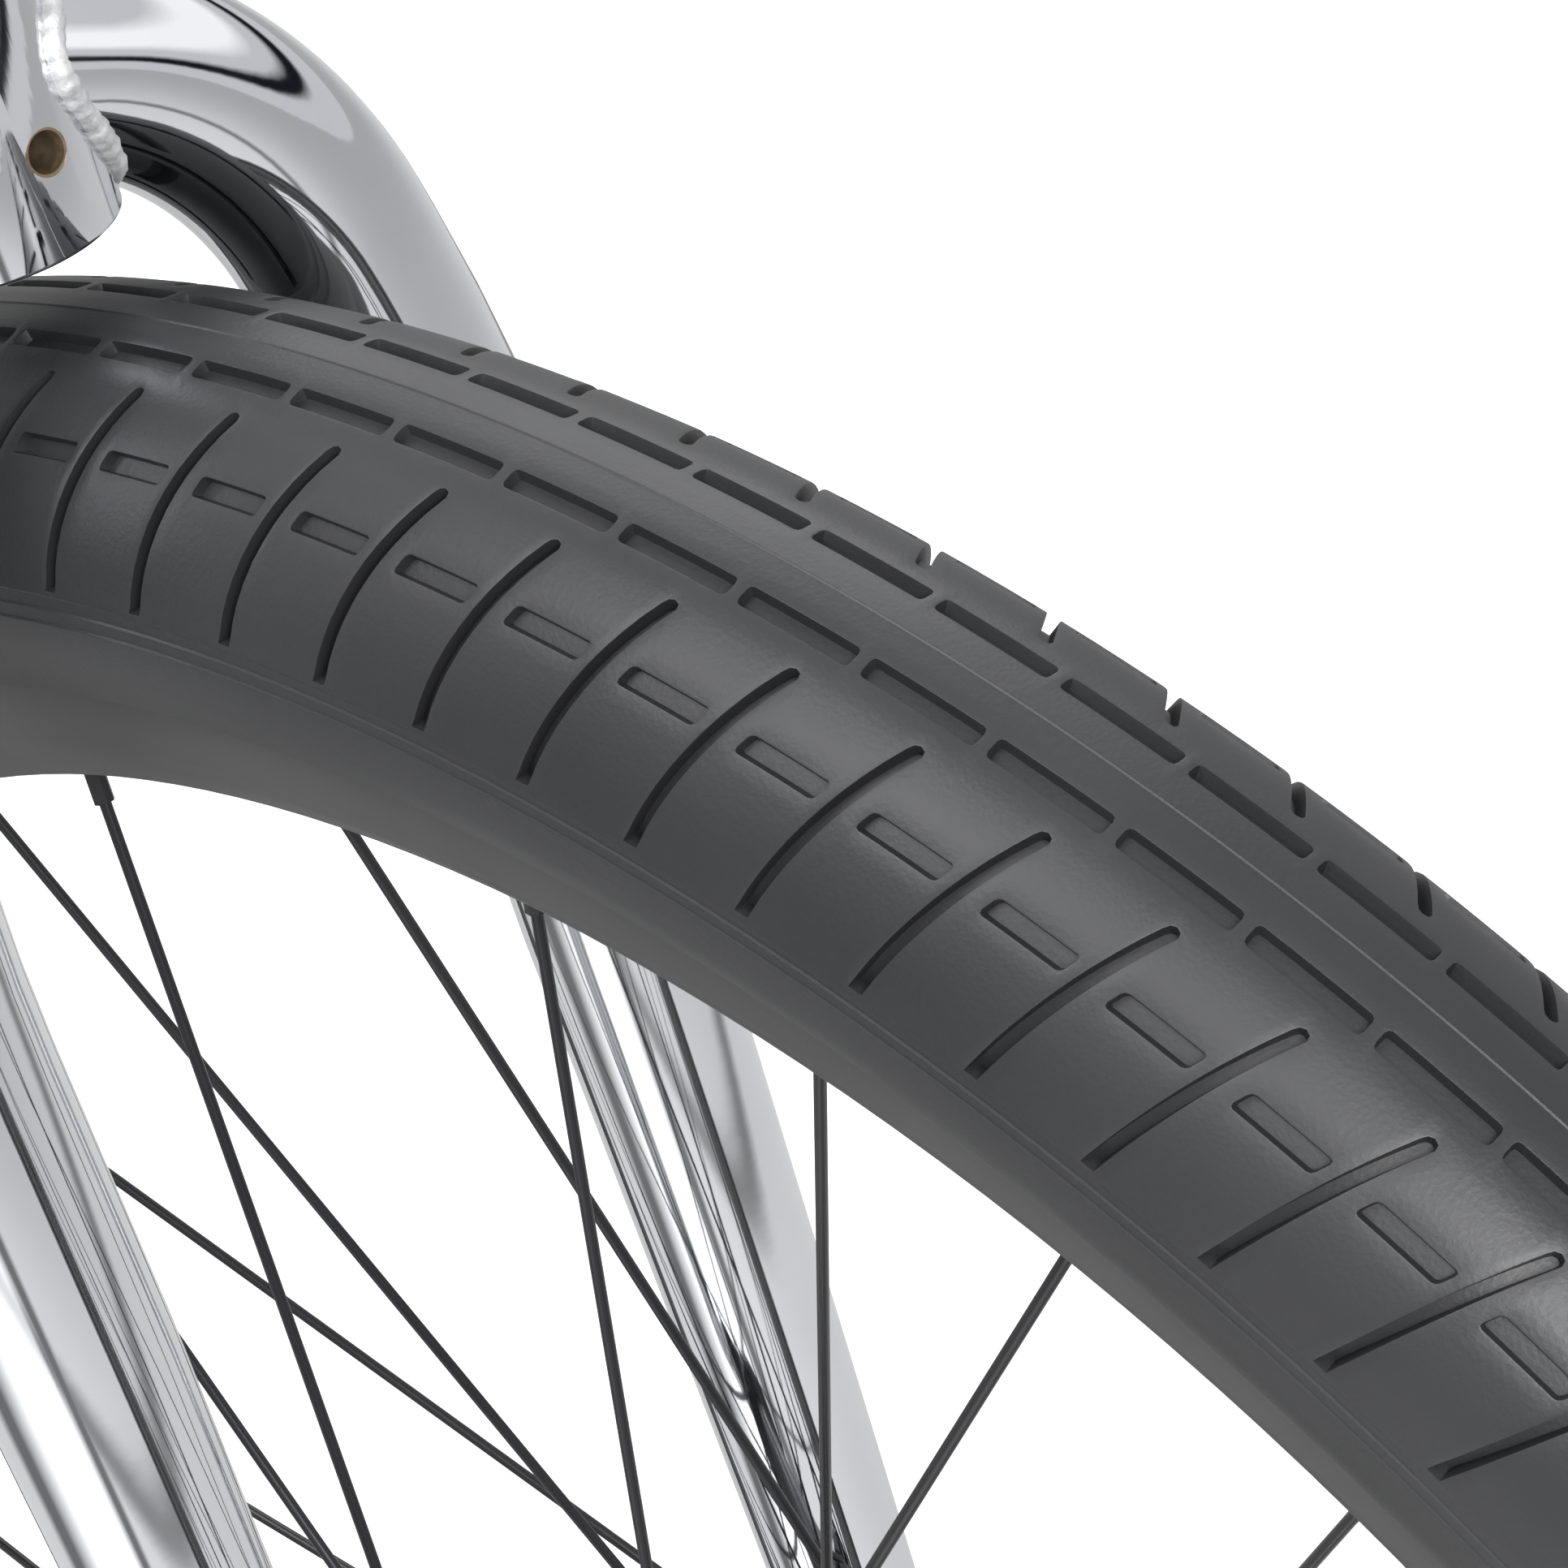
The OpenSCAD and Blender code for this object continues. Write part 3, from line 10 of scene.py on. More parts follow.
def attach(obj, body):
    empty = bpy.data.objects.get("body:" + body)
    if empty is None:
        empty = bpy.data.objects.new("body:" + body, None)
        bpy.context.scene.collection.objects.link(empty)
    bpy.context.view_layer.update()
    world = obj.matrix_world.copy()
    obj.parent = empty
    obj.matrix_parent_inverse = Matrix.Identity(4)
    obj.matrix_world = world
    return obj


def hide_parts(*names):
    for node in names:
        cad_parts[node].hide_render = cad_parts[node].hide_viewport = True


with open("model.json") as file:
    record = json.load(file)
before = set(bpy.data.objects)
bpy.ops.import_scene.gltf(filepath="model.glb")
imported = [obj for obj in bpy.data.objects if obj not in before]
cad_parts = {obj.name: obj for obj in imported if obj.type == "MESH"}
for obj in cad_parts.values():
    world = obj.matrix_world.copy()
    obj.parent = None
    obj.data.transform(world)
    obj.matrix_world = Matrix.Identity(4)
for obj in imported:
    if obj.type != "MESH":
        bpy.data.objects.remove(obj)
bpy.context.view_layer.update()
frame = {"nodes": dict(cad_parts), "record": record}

scene = bpy.context.scene
MM = 0.001

# ---------------------------------------------------------------- sizes, as in the part's source
WHEELBASE, TYRE_R, TYRE_SECTION = 1.010, 0.337, 0.031
FRONT_AXLE = Vector((WHEELBASE / 2, 0, TYRE_R))
REAR_AXLE = Vector((-WHEELBASE / 2, 0, TYRE_R))
HEAD_ANGLE, SEAT_ANGLE = radians(74), radians(71)
HEAD_UP = Vector((-cos(HEAD_ANGLE), 0, sin(HEAD_ANGLE)))
HEAD_FWD = Vector((sin(HEAD_ANGLE), 0, cos(HEAD_ANGLE)))
RAKE = 0.030
BB = Vector((-0.102335, 0, 0.300))
SEAT_UP = Vector((-cos(SEAT_ANGLE), 0, sin(SEAT_ANGLE)))


def on_steering(a, fwd=0.0, y=0.0):
    """A point at height a above the axle along the steering axis."""
    p = FRONT_AXLE - RAKE * HEAD_FWD + a * HEAD_UP + fwd * HEAD_FWD
    return Vector((p.x, y, p.z))


def on_seat_tube(s, fwd=0.0, y=0.0):
    p = BB + s * SEAT_UP + fwd * Vector((sin(SEAT_ANGLE), 0, cos(SEAT_ANGLE)))
    return Vector((p.x, y, p.z))


# ---------------------------------------------------------------- camera
CAMERA_AWAY = Vector((0.318824, -0.334802, 0.712091))    # from the front axle
CAMERA_FORWARD = Vector((-0.49278, 0.54611, -0.67744))
CAMERA_RIGHT = Vector((0.77022, 0.63601, -0.04756))


def make_camera():
    """A long lens close above the front wheel, looking down and back across the fork."""
    data = bpy.data.cameras.new("camera")
    data.sensor_width, data.lens = 36.0, 107.14
    data.clip_start, data.clip_end = 0.01, 60
    cam = bpy.data.objects.new("camera", data)
    forward, right = CAMERA_FORWARD.normalized(), CAMERA_RIGHT.normalized()
    up = right.cross(forward).normalized()
    turn = Matrix((right, up, -forward)).transposed()
    cam.matrix_world = Matrix.Translation(FRONT_AXLE + CAMERA_AWAY) @ turn.to_4x4()
    scene.collection.objects.link(cam)
    scene.camera = cam


make_camera()


# ---------------------------------------------------------------- small helpers
def deselect():
    if bpy.context.object and bpy.context.object.mode != "OBJECT":
        bpy.ops.object.mode_set(mode="OBJECT")
    bpy.ops.object.select_all(action="DESELECT")


def pick(obj):
    deselect()
    obj.select_set(True)
    bpy.context.view_layer.objects.active = obj
    return obj


def added(name):
    """The object that the last primitive made, at the origin with its place in its mesh."""
    obj = bpy.context.object
    obj.name = name
    bpy.ops.object.transform_apply(location=True, rotation=True, scale=True)
    return obj


def apply_modifier(obj, kind, **values):
    pick(obj)
    mod = obj.modifiers.new(kind.lower(), kind)
    for key, value in values.items():
        setattr(mod, key, value)
    bpy.ops.object.modifier_apply(modifier=mod.name)


def smooth(obj, angle=35):
    pick(obj)
    bpy.ops.object.shade_smooth_by_angle(angle=radians(angle), keep_sharp_edges=False)


def outward(obj, merge=1e-5):
    """Merges doubles and turns every face outwards."""
    pick(obj)
    bpy.ops.object.mode_set(mode="EDIT")
    bpy.ops.mesh.select_all(action="SELECT")
    bpy.ops.mesh.remove_doubles(threshold=merge)
    bpy.ops.mesh.normals_make_consistent(inside=False)
    bpy.ops.object.mode_set(mode="OBJECT")


def finish_piece(obj, body, material, slot, *nodes):
    obj.data.materials.clear()
    obj.data.materials.append(material)
    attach(obj, body)
    if nodes:
        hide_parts(*nodes)
    return obj


# ---------------------------------------------------------------- materials
class Nodes:
    """Short calls for building one node tree."""

    def __init__(self, tree):
        self.tree = tree

    def add(self, kind, inputs=None, **settings):
        node = self.tree.nodes.new(kind)
        for key, value in settings.items():
            setattr(node, key, value)
        for key, value in (inputs or {}).items():
            if isinstance(value, bpy.types.NodeSocket):
                self.tree.links.new(value, node.inputs[key])
            else:
                node.inputs[key].default_value = value
        return node

    def link(self, a, b):
        self.tree.links.new(a, b)

    def math(self, operation, a, b=0.0, clamp=False):
        node = self.add("ShaderNodeMath", {0: a, 1: b}, operation=operation)
        node.use_clamp = clamp
        return node.outputs[0]

    def ramp(self, value, low, high, out_low=0.0, out_high=1.0):
        node = self.add("ShaderNodeMapRange", {"Value": value, "From Min": low, "From Max": high,
                                               "To Min": out_low, "To Max": out_high})
        return node.outputs[0]

    def band(self, value, begin, full, fade, end):
        """One from full to fade, falling to nothing at begin and end."""
        return self.math("MULTIPLY", self.ramp(value, begin, full), self.ramp(value, end, fade))

    def mix(self, factor, a, b):
        node = self.add("ShaderNodeMix", {0: factor}, data_type="RGBA")
        for socket, value in ((node.inputs[6], a), (node.inputs[7], b)):
            if isinstance(value, bpy.types.NodeSocket):
                self.link(value, socket)
            else:
                socket.default_value = value
        return node.outputs[2]


def colour(r, g=None, b=None):
    return (r, r if g is None else g, r if b is None else b, 1.0)


def node_group(name, inputs, outputs, build):
    group = bpy.data.node_groups.new(name, "ShaderNodeTree")
    for socket, kind, value in inputs:
        made = group.interface.new_socket(socket, in_out="INPUT", socket_type=kind)
        if value is not None:
            made.default_value = value
    for socket, kind in outputs:
        group.interface.new_socket(socket, in_out="OUTPUT", socket_type=kind)
    nodes = Nodes(group)
    build(nodes, group.nodes.new("NodeGroupInput").outputs, group.nodes.new("NodeGroupOutput").inputs)
    return group


def build_grain(n, given, out):
    """Two sizes of grain as a height, and slow patches as a mask."""
    place = n.add("ShaderNodeTexCoord").outputs["Object"]
    fine = n.add("ShaderNodeTexNoise", {"Vector": place, "Scale": given["Scale"], "Detail": 2.0})
    coarse_scale = n.math("MULTIPLY", given["Scale"], 0.45)
    coarse = n.add("ShaderNodeTexVoronoi", {"Vector": place, "Scale": coarse_scale})
    slow = n.add("ShaderNodeTexNoise", {"Vector": place, "Scale": given["Patches"], "Detail": 3.0})
    height = n.math("ADD", n.math("MULTIPLY", fine.outputs[0], 0.6),
                    n.math("MULTIPLY", coarse.outputs[0], 0.7))
    n.link(height, out["Height"])
    n.link(n.ramp(slow.outputs[0], 0.35, 0.65), out["Patch"])
    n.link(fine.outputs[0], out["Speck"])


grain_group = node_group(
    "grain", [("Scale", "NodeSocketFloat", 1000.0), ("Patches", "NodeSocketFloat", 12.0)],
    [("Height", "NodeSocketFloat"), ("Patch", "NodeSocketFloat"), ("Speck", "NodeSocketFloat")], build_grain)


def material(name, base, metallic=0.0, **sockets):
    mat = bpy.data.materials.new(name)
    mat.use_nodes = True
    n = Nodes(mat.node_tree)
    shader = mat.node_tree.nodes["Principled BSDF"]
    shader.inputs["Base Color"].default_value = base
    shader.inputs["Metallic"].default_value = metallic
    for key, value in sockets.items():
        shader.inputs[key.replace("_", " ")].default_value = value
    mat.diffuse_color = base
    return mat, n, shader


def grained(name, base, light, rough, scale=900.0, patches=10.0, bump=0.2, depth=0.0002, metallic=0.0,
            **more):
    """A finish whose colour and roughness drift a little, with fine grain in its surface."""
    mat, n, shader = material(name, base, metallic, **more)
    g = n.add("ShaderNodeGroup", node_tree=grain_group)
    g.inputs["Scale"].default_value = scale
    g.inputs["Patches"].default_value = patches
    tone = n.math("ADD", n.math("MULTIPLY", g.outputs["Patch"], 0.7),
                  n.math("MULTIPLY", g.outputs["Speck"], 0.3))
    n.link(n.mix(tone, base, light), shader.inputs["Base Color"])
    n.link(n.ramp(tone, 0.0, 1.0, rough[0], rough[1]), shader.inputs["Roughness"])
    relief = n.add("ShaderNodeBump", {"Height": g.outputs["Height"], "Strength": bump, "Distance": depth})
    n.link(relief.outputs[0], shader.inputs["Normal"])
    return mat


chrome = grained("chrome plate", colour(0.74, 0.75, 0.78), colour(0.82, 0.83, 0.85), (0.035, 0.09),
                 scale=260.0, patches=14.0, bump=0.03, depth=0.00015, metallic=1.0)
weld_chrome = grained("plated weld", colour(0.50, 0.51, 0.52), colour(0.70, 0.70, 0.70), (0.42, 0.6),
                      scale=1400.0, patches=260.0, bump=0.7, depth=0.0003, metallic=0.6)
tread_rubber = grained("tread rubber", colour(0.013, 0.0134, 0.0152), colour(0.018, 0.0184, 0.0198),
                       (0.42, 0.52), scale=2600.0, patches=18.0, bump=0.28, depth=0.00012)
plain_rubber = grained("plain rubber", colour(0.028, 0.028, 0.03), colour(0.042, 0.042, 0.044), (0.5, 0.65),
                       scale=900.0, bump=0.25)
rim_black = grained("rim black", colour(0.050, 0.050, 0.050), colour(0.062, 0.062, 0.062), (0.5, 0.62),
                    scale=2200.0, patches=30.0, bump=0.2, depth=0.0001, metallic=0.2)
satin_black = grained("satin black", colour(0.020, 0.021, 0.023), colour(0.032, 0.033, 0.035), (0.28, 0.4),
                      scale=1600.0, bump=0.08, depth=0.0001, metallic=0.3, Coat_Weight=0.15)
spoke_black = grained("spoke black", colour(0.014, 0.014, 0.016), colour(0.022, 0.022, 0.024), (0.25, 0.38),
                      scale=2000.0, bump=0.05, metallic=0.4)
bolt_black = grained("black oxide", colour(0.030, 0.030, 0.032), colour(0.05, 0.05, 0.052), (0.3, 0.45),
                     scale=1200.0, bump=0.1, metallic=0.8)
steel = grained("plain steel", colour(0.42, 0.43, 0.45), colour(0.58, 0.59, 0.60), (0.24, 0.38),
                scale=1800.0, patches=60.0, bump=0.15, metallic=1.0)
chain_steel = grained("oiled steel", colour(0.20, 0.20, 0.21), colour(0.42, 0.42, 0.42), (0.25, 0.45),
                      scale=1500.0, patches=160.0, bump=0.2, metallic=1.0)
bare_steel = grained("unplated steel", colour(0.16, 0.115, 0.065), colour(0.30, 0.23, 0.15), (0.4, 0.6),
                     scale=1500.0, patches=400.0, bump=0.3, metallic=0.7)
nylon = grained("moulded nylon", colour(0.024, 0.024, 0.026), colour(0.036, 0.036, 0.038), (0.45, 0.6),
                scale=1300.0, patches=20.0, bump=0.3)


# ---------------------------------------------------------------- tyres
PITCHES = 107
PITCH_FLAT = 0.0194          # one pitch, laid flat
TIP_PHASE = radians(108.12)  # where one slash begins on the front tyre, from +X towards +Z
ARC = TYRE_SECTION * pi / 180    # length of one degree of the section
EDGE_ANGLE = 84.4
LIP_W, LIP_DROP = 0.0002, 0.00005    # the rounded lip of a groove
REAR_TURN = 0.4              # the rear tyre sits turned by this against the front one

# columns across one pitch, measured from a slash; the patch runs from the middle of a dash to the next
COLUMNS = [0.6, 0.8215, 0.865, 0.932, 1.0, 1.068, 1.187, 1.2305, 1.274, 1.347, 1.39, 1.6]
# rows from the seam to the tread's edge, in degrees of the section
ROWS = [0, 0.45, 5.5, 10.3, 12.1, 15.3, 17.1, 22.7, 25.1, 30.5, 35.5, 40.8, 42.4, 45.7, 47.3,
        52, 57.5, 63.5, 69, 74.5, 79.7, 82.2, 83.2, EDGE_ANGLE]
# below the tread: section angle and radius, down the sidewall, round the bead and back inside
SIDEWALL = [(88.0, 30.55), (88.6, 30.8), (89.2, 30.5), (93.0, 30.45), (93.6, 30.7), (94.2, 30.4),
            (102, 30.4), (112, 30.4), (122, 30.5), (131.4, 31.0), (142.5, 25.5), (136.8, 21.9),
            (118, 28.3), (84, 28.3), (40, 28.3), (0, 28.3)]
SIDEWALL_STEP = 0.002        # distance between two rows of the sidewall on the flat patch
PROFILE = {0: 31.18, 0.45: 31.0, 79.7: 31.0, 82.2: 31.25, 83.2: 31.25, EDGE_ANGLE: 30.65}


def slash_shift(angle):
    """How far along its pitch a slash has run at this angle of the section."""
    t = min(max(angle - 24.5, 0.0), 57.5)
    return -0.033 - 0.0130 * t + 0.000042 * t * t


def section_table():
    """Across the flat patch: distance from the seam, angle of the section and its radius."""
    table = [(a * ARC, a, PROFILE[a] * MM) for a in sorted(PROFILE)]
    y = EDGE_ANGLE * ARC
    for angle, radius in SIDEWALL:
        y += SIDEWALL_STEP
        table.append((y, angle, radius * MM))
    return table


SECTION = section_table()


def section_at(y):
    """The section's angle and radius at a distance from the seam."""
    for (y0, a0, r0), (y1, a1, r1) in zip(SECTION, SECTION[1:]):
        if y <= y1 + 1e-9:
            t = (y - y0) / (y1 - y0)
            return a0 + t * (a1 - a0), r0 + t * (r1 - r0)
    return SECTION[-1][1], SECTION[-1][2]


def tread_patch():
    """One pitch of one half of the tread, laid flat, with its grooves sunk."""
    across, along = len(ROWS), len(COLUMNS)
    bpy.ops.mesh.primitive_grid_add(x_subdivisions=along - 1, y_subdivisions=across - 1, size=1)
    obj = added("tread")
    mesh = obj.data
    place = {}
    for v in mesh.vertices:
        i = round((v.co.x + 0.5) * (along - 1))
        j = round((v.co.y + 0.5) * (across - 1))
        place[i, j] = v.index
        v.co = (COLUMNS[i] * PITCH_FLAT, ROWS[j] * ARC, 0)

    def at(i, j):
        return mesh.vertices[place[i, j]]

    def round_corner(i, j, i_in, j_in):
        """Pulls a groove's corner in to the arc through its two neighbours."""
        corner = at(i, j).co
        dx = at(i_in, j).co.x - corner.x
        dy = at(i, j_in).co.y - corner.y
        keep = 1 - 2 ** -0.5
        corner.x += dx * keep
        corner.y += dy * keep

    row = {a: k for k, a in enumerate(ROWS)}
    for a, b in ((10.3, 12.1), (17.1, 15.3)):          # long dash
        round_corner(8, row[a], 7, row[b])
        round_corner(9, row[a], 10, row[b])
    for a, b in ((40.8, 42.4), (47.3, 45.7)):          # short dash
        round_corner(2, row[a], 1, row[b])
        round_corner(6, row[a], 7, row[b])
    round_corner(3, row[22.7], 4, row[25.1])           # slash tip
    round_corner(5, row[22.7], 4, row[25.1])
    grooves = [
        # the columns of a groove, its first and last row, the width of its wall and its depth
        ([(0, 8), (9, 11)], row[10.3], row[17.1], 0.00030, 0.0017),
        ([(0, 2), (6, 11)], row[40.8], row[47.3], 0.00030, 0.0017),
        ([(3, 5)], row[22.7], row[82.2], 0.00026, 0.0023),
    ]
    centre = {}
    for p in mesh.polygons:
        cols = [i for (i, j), k in place.items() if k in p.vertices[:]]
        rows = [j for (i, j), k in place.items() if k in p.vertices[:]]
        centre[p.index] = (min(cols), min(rows))
    pick(obj)
    bpy.ops.object.mode_set(mode="EDIT")
    bpy.ops.mesh.select_mode(type="FACE")
    bm = bmesh.from_edit_mesh(mesh)
    layer = bm.faces.layers.int.new("groove")
    bm.faces.ensure_lookup_table()
    for k, (spans, low, high, *_) in enumerate(grooves):
        for index, (i, j) in centre.items():
            if low <= j < high and any(a <= i < b for a, b in spans):
                bm.faces[index][layer] = k + 1
    for k, (*_, wall, depth) in enumerate(grooves):
        for thickness, sink in ((LIP_W, LIP_DROP), (wall, depth)):
            bm = bmesh.from_edit_mesh(mesh)
            layer = bm.faces.layers.int["groove"]
            for f in bm.faces:
                f.select_set(f[layer] == k + 1)
            bmesh.update_edit_mesh(mesh)
            bpy.ops.mesh.inset(thickness=thickness, depth=-sink, use_boundary=False, use_even_offset=True)
            bm = bmesh.from_edit_mesh(mesh)
            layer = bm.faces.layers.int["groove"]
            for f in bm.faces:
                if f[layer] == k + 1 and not f.select:
                    f[layer] = 0
            bmesh.update_edit_mesh(mesh)
    # the sidewall hangs from the tread's edge, with fewer columns
    bm = bmesh.from_edit_mesh(mesh)
    edge_y = EDGE_ANGLE * ARC
    for f in bm.faces:
        f.select_set(False)
    bpy.ops.mesh.select_mode(type="EDGE")
    row_edges = [e for e in bm.edges if all(abs(v.co.y - edge_y) < 1e-7 for v in e.verts)]
    keep_x = [COLUMNS[0], COLUMNS[5], COLUMNS[-1]]
    y = edge_y
    for step in range(len(SIDEWALL)):
        y += SIDEWALL_STEP
        made = bmesh.ops.extrude_edge_only(bm, edges=row_edges)["geom"]
        fresh = [g for g in made if isinstance(g, bmesh.types.BMVert)]
        for v in fresh:
            v.co.y = y
        if step == 0:
            spare = [v for v in fresh if min(abs(v.co.x - c * PITCH_FLAT) for c in keep_x) > 1e-6]
            bmesh.ops.dissolve_verts(bm, verts=spare)
        row_edges = [e for e in bm.edges if all(abs(v.co.y - y) < 1e-7 for v in e.verts)]
    bmesh.update_edit_mesh(mesh)
    bpy.ops.object.mode_set(mode="OBJECT")
    return obj


def make_tyre(name, axle, phase, body, node):
    """Copies the pitch round the wheel and rolls it on to the casing."""
    obj = tread_patch()
    obj.name = name
    apply_modifier(obj, "MIRROR", use_axis=(False, True, False), merge_threshold=1e-6)
    apply_modifier(obj, "ARRAY", count=PITCHES, use_relative_offset=False, use_constant_offset=True,
                   constant_offset_displace=(PITCH_FLAT, 0, 0), use_merge_vertices=True, merge_threshold=1e-6)
    turn = 2 * pi / PITCHES
    middle = TYRE_R - TYRE_SECTION
    for v in obj.data.vertices:
        angle, radius = section_at(abs(v.co.y))
        radius += v.co.z
        side = math.copysign(1, v.co.y)
        round_wheel = phase - (v.co.x / PITCH_FLAT + slash_shift(angle)) * turn
        across = -side * radius * sin(radians(angle))
        r = middle + radius * cos(radians(angle))
        v.co = axle + Vector((r * cos(round_wheel), across, r * sin(round_wheel)))
    outward(obj, 2e-6)
    smooth(obj, 32)
    return finish_piece(obj, body, tread_rubber, "tyre", node)


make_tyre("front_tyre_tread", FRONT_AXLE, TIP_PHASE, "front_wheel", "front_tyre")
make_tyre("rear_tyre_tread", REAR_AXLE, TIP_PHASE + REAR_TURN, "rear_wheel", "rear_tyre")


# ---------------------------------------------------------------- tubes
def bent_tube(name, path, bends, radius, sides=40, step=6, end_radius=None):
    """A round tube along a path, with a bend of its own radius at each inner corner."""
    path = [Vector(p) for p in path]
    run = (path[1] - path[0]).normalized()
    bpy.ops.mesh.primitive_circle_add(vertices=sides, radius=radius, fill_type="NGON", location=path[0],
                                      rotation=run.to_track_quat("Z", "Y").to_euler())
    obj = added(name)
    bpy.ops.object.mode_set(mode="EDIT")
    bpy.ops.mesh.select_all(action="SELECT")
    bpy.ops.mesh.flip_normals()
    bpy.ops.mesh.select_mode(type="EDGE")
    here = path[0]
    for k, bend in enumerate(bends):
        corner, after = path[k + 1], path[k + 2]
        run, leave = (corner - here).normalized(), (after - corner).normalized()
        turn = run.angle(leave)
        cut = bend * tan(turn / 2)
        bpy.ops.mesh.extrude_edges_move(TRANSFORM_OT_translate={"value": corner - cut * run - here})
        inward = (leave - leave.dot(run) * run).normalized()
        centre = corner - cut * run + bend * inward
        bpy.ops.mesh.spin(steps=max(3, round(degrees(turn) / step)), angle=turn, center=centre,
                          axis=-run.cross(leave).normalized())
        here = corner + cut * leave
    bpy.ops.mesh.extrude_edges_move(TRANSFORM_OT_translate={"value": path[-1] - here})
    if end_radius:
        k = end_radius / radius
        bpy.ops.transform.resize(value=(k, k, k), center_override=tuple(path[-1]))
    bpy.ops.mesh.edge_face_add()
    bpy.ops.object.mode_set(mode="OBJECT")
    outward(obj)
    smooth(obj)
    return obj


def cut_by(obj, *cutters):
    """Takes the cutters' shapes out of a piece."""
    for cutter in cutters:
        apply_modifier(obj, "BOOLEAN", operation="DIFFERENCE", object=cutter, solver="EXACT")
        bpy.data.objects.remove(cutter)
    smooth(obj)


def solid_rod(p, q, radius, sides=48):
    p, q = Vector(p), Vector(q)
    turn = (q - p).to_track_quat("Z", "Y").to_euler()
    bpy.ops.mesh.primitive_cylinder_add(vertices=sides, radius=radius, depth=(q - p).length,
                                        location=(p + q) / 2, rotation=turn)
    return added("rod")


def cope_line(p, run, radius, q, along, host, count=96):
    """The line where a tube from p, running towards a host tube on the axis q, along, meets its wall."""
    run, along = Vector(run).normalized(), Vector(along).normalized()
    side = run.cross(Vector((0, 1, 0)))
    if side.length < 1e-3:
        side = run.cross(Vector((1, 0, 0)))
    side.normalize()
    other = run.cross(side)
    line = []
    for k in range(count):
        a = 2 * pi * k / count
        start = Vector(p) + radius * (cos(a) * side + sin(a) * other)
        u = (start - q) - (start - q).dot(along) * along
        v = run - run.dot(along) * along
        qa, qb, qc = v.dot(v), 2 * u.dot(v), u.dot(u) - host * host
        gap = qb * qb - 4 * qa * qc
        t = (-qb - math.sqrt(max(gap, 0.0))) / (2 * qa)
        line.append(start + t * run)
    return line


DROP_SHAPE = (0.90, 1.0, 1.02, 0.97)    # a weld drop's radius at its four points


def weld(name, line, body, radius, ripple, seed):
    """A weld of overlapping drops round a closed line."""
    rng = random.Random(seed)
    pairs = list(zip(line, line[1:] + line[:1]))
    total = sum((b - a).length for a, b in pairs)
    drops = max(4, round(total / ripple))
    per_drop, points = len(DROP_SHAPE), []
    for k in range(drops * per_drop):
        want, run = total * k / (drops * per_drop), 0.0
        for a, b in pairs:
            size = (b - a).length
            if run + size >= want:
                points.append(a.lerp(b, (want - run) / size if size else 0))
                break
            run += size
    curve = bpy.data.curves.new(name, "CURVE")
    curve.dimensions, curve.bevel_depth, curve.bevel_resolution = "3D", radius, 2
    spline = curve.splines.new("POLY")
    spline.points.add(len(points) - 1)
    spline.use_cyclic_u = True
    swell = [rng.uniform(0.86, 1.12) for _ in range(drops)]
    for k, p in enumerate(points):
        spline.points[k].co = (*p, 1)
        spline.points[k].radius = swell[k // per_drop] * DROP_SHAPE[k % per_drop]
    obj = bpy.data.objects.new(name, curve)
    scene.collection.objects.link(obj)
    pick(obj)
    bpy.ops.object.convert(target="MESH")
    obj = bpy.context.object
    smooth(obj, 60)
    return finish_piece(obj, body, weld_chrome, "chrome_tube")


# ---------------------------------------------------------------- fork
LEG_R, LEG_END_R, LEG_Y, LEG_LOW, TAPER_START = 0.016, 0.0128, 0.0625, 0.024, 0.185
CROWN_LOW, CROWN_MEET, CROWN_R, COLLAR_R, WELD_R = 0.347, 0.374, 0.0161, 0.0169, 0.0176
CROWN_HOLE_UP, CROWN_HOLE_R, COLLAR_TOP = 0.362, 0.0035, 0.3912
CROWN_DROP, SHOULDER_DROP, CROWN_BEND, SHOULDER_BEND = radians(27), radians(77), 0.073, 0.330


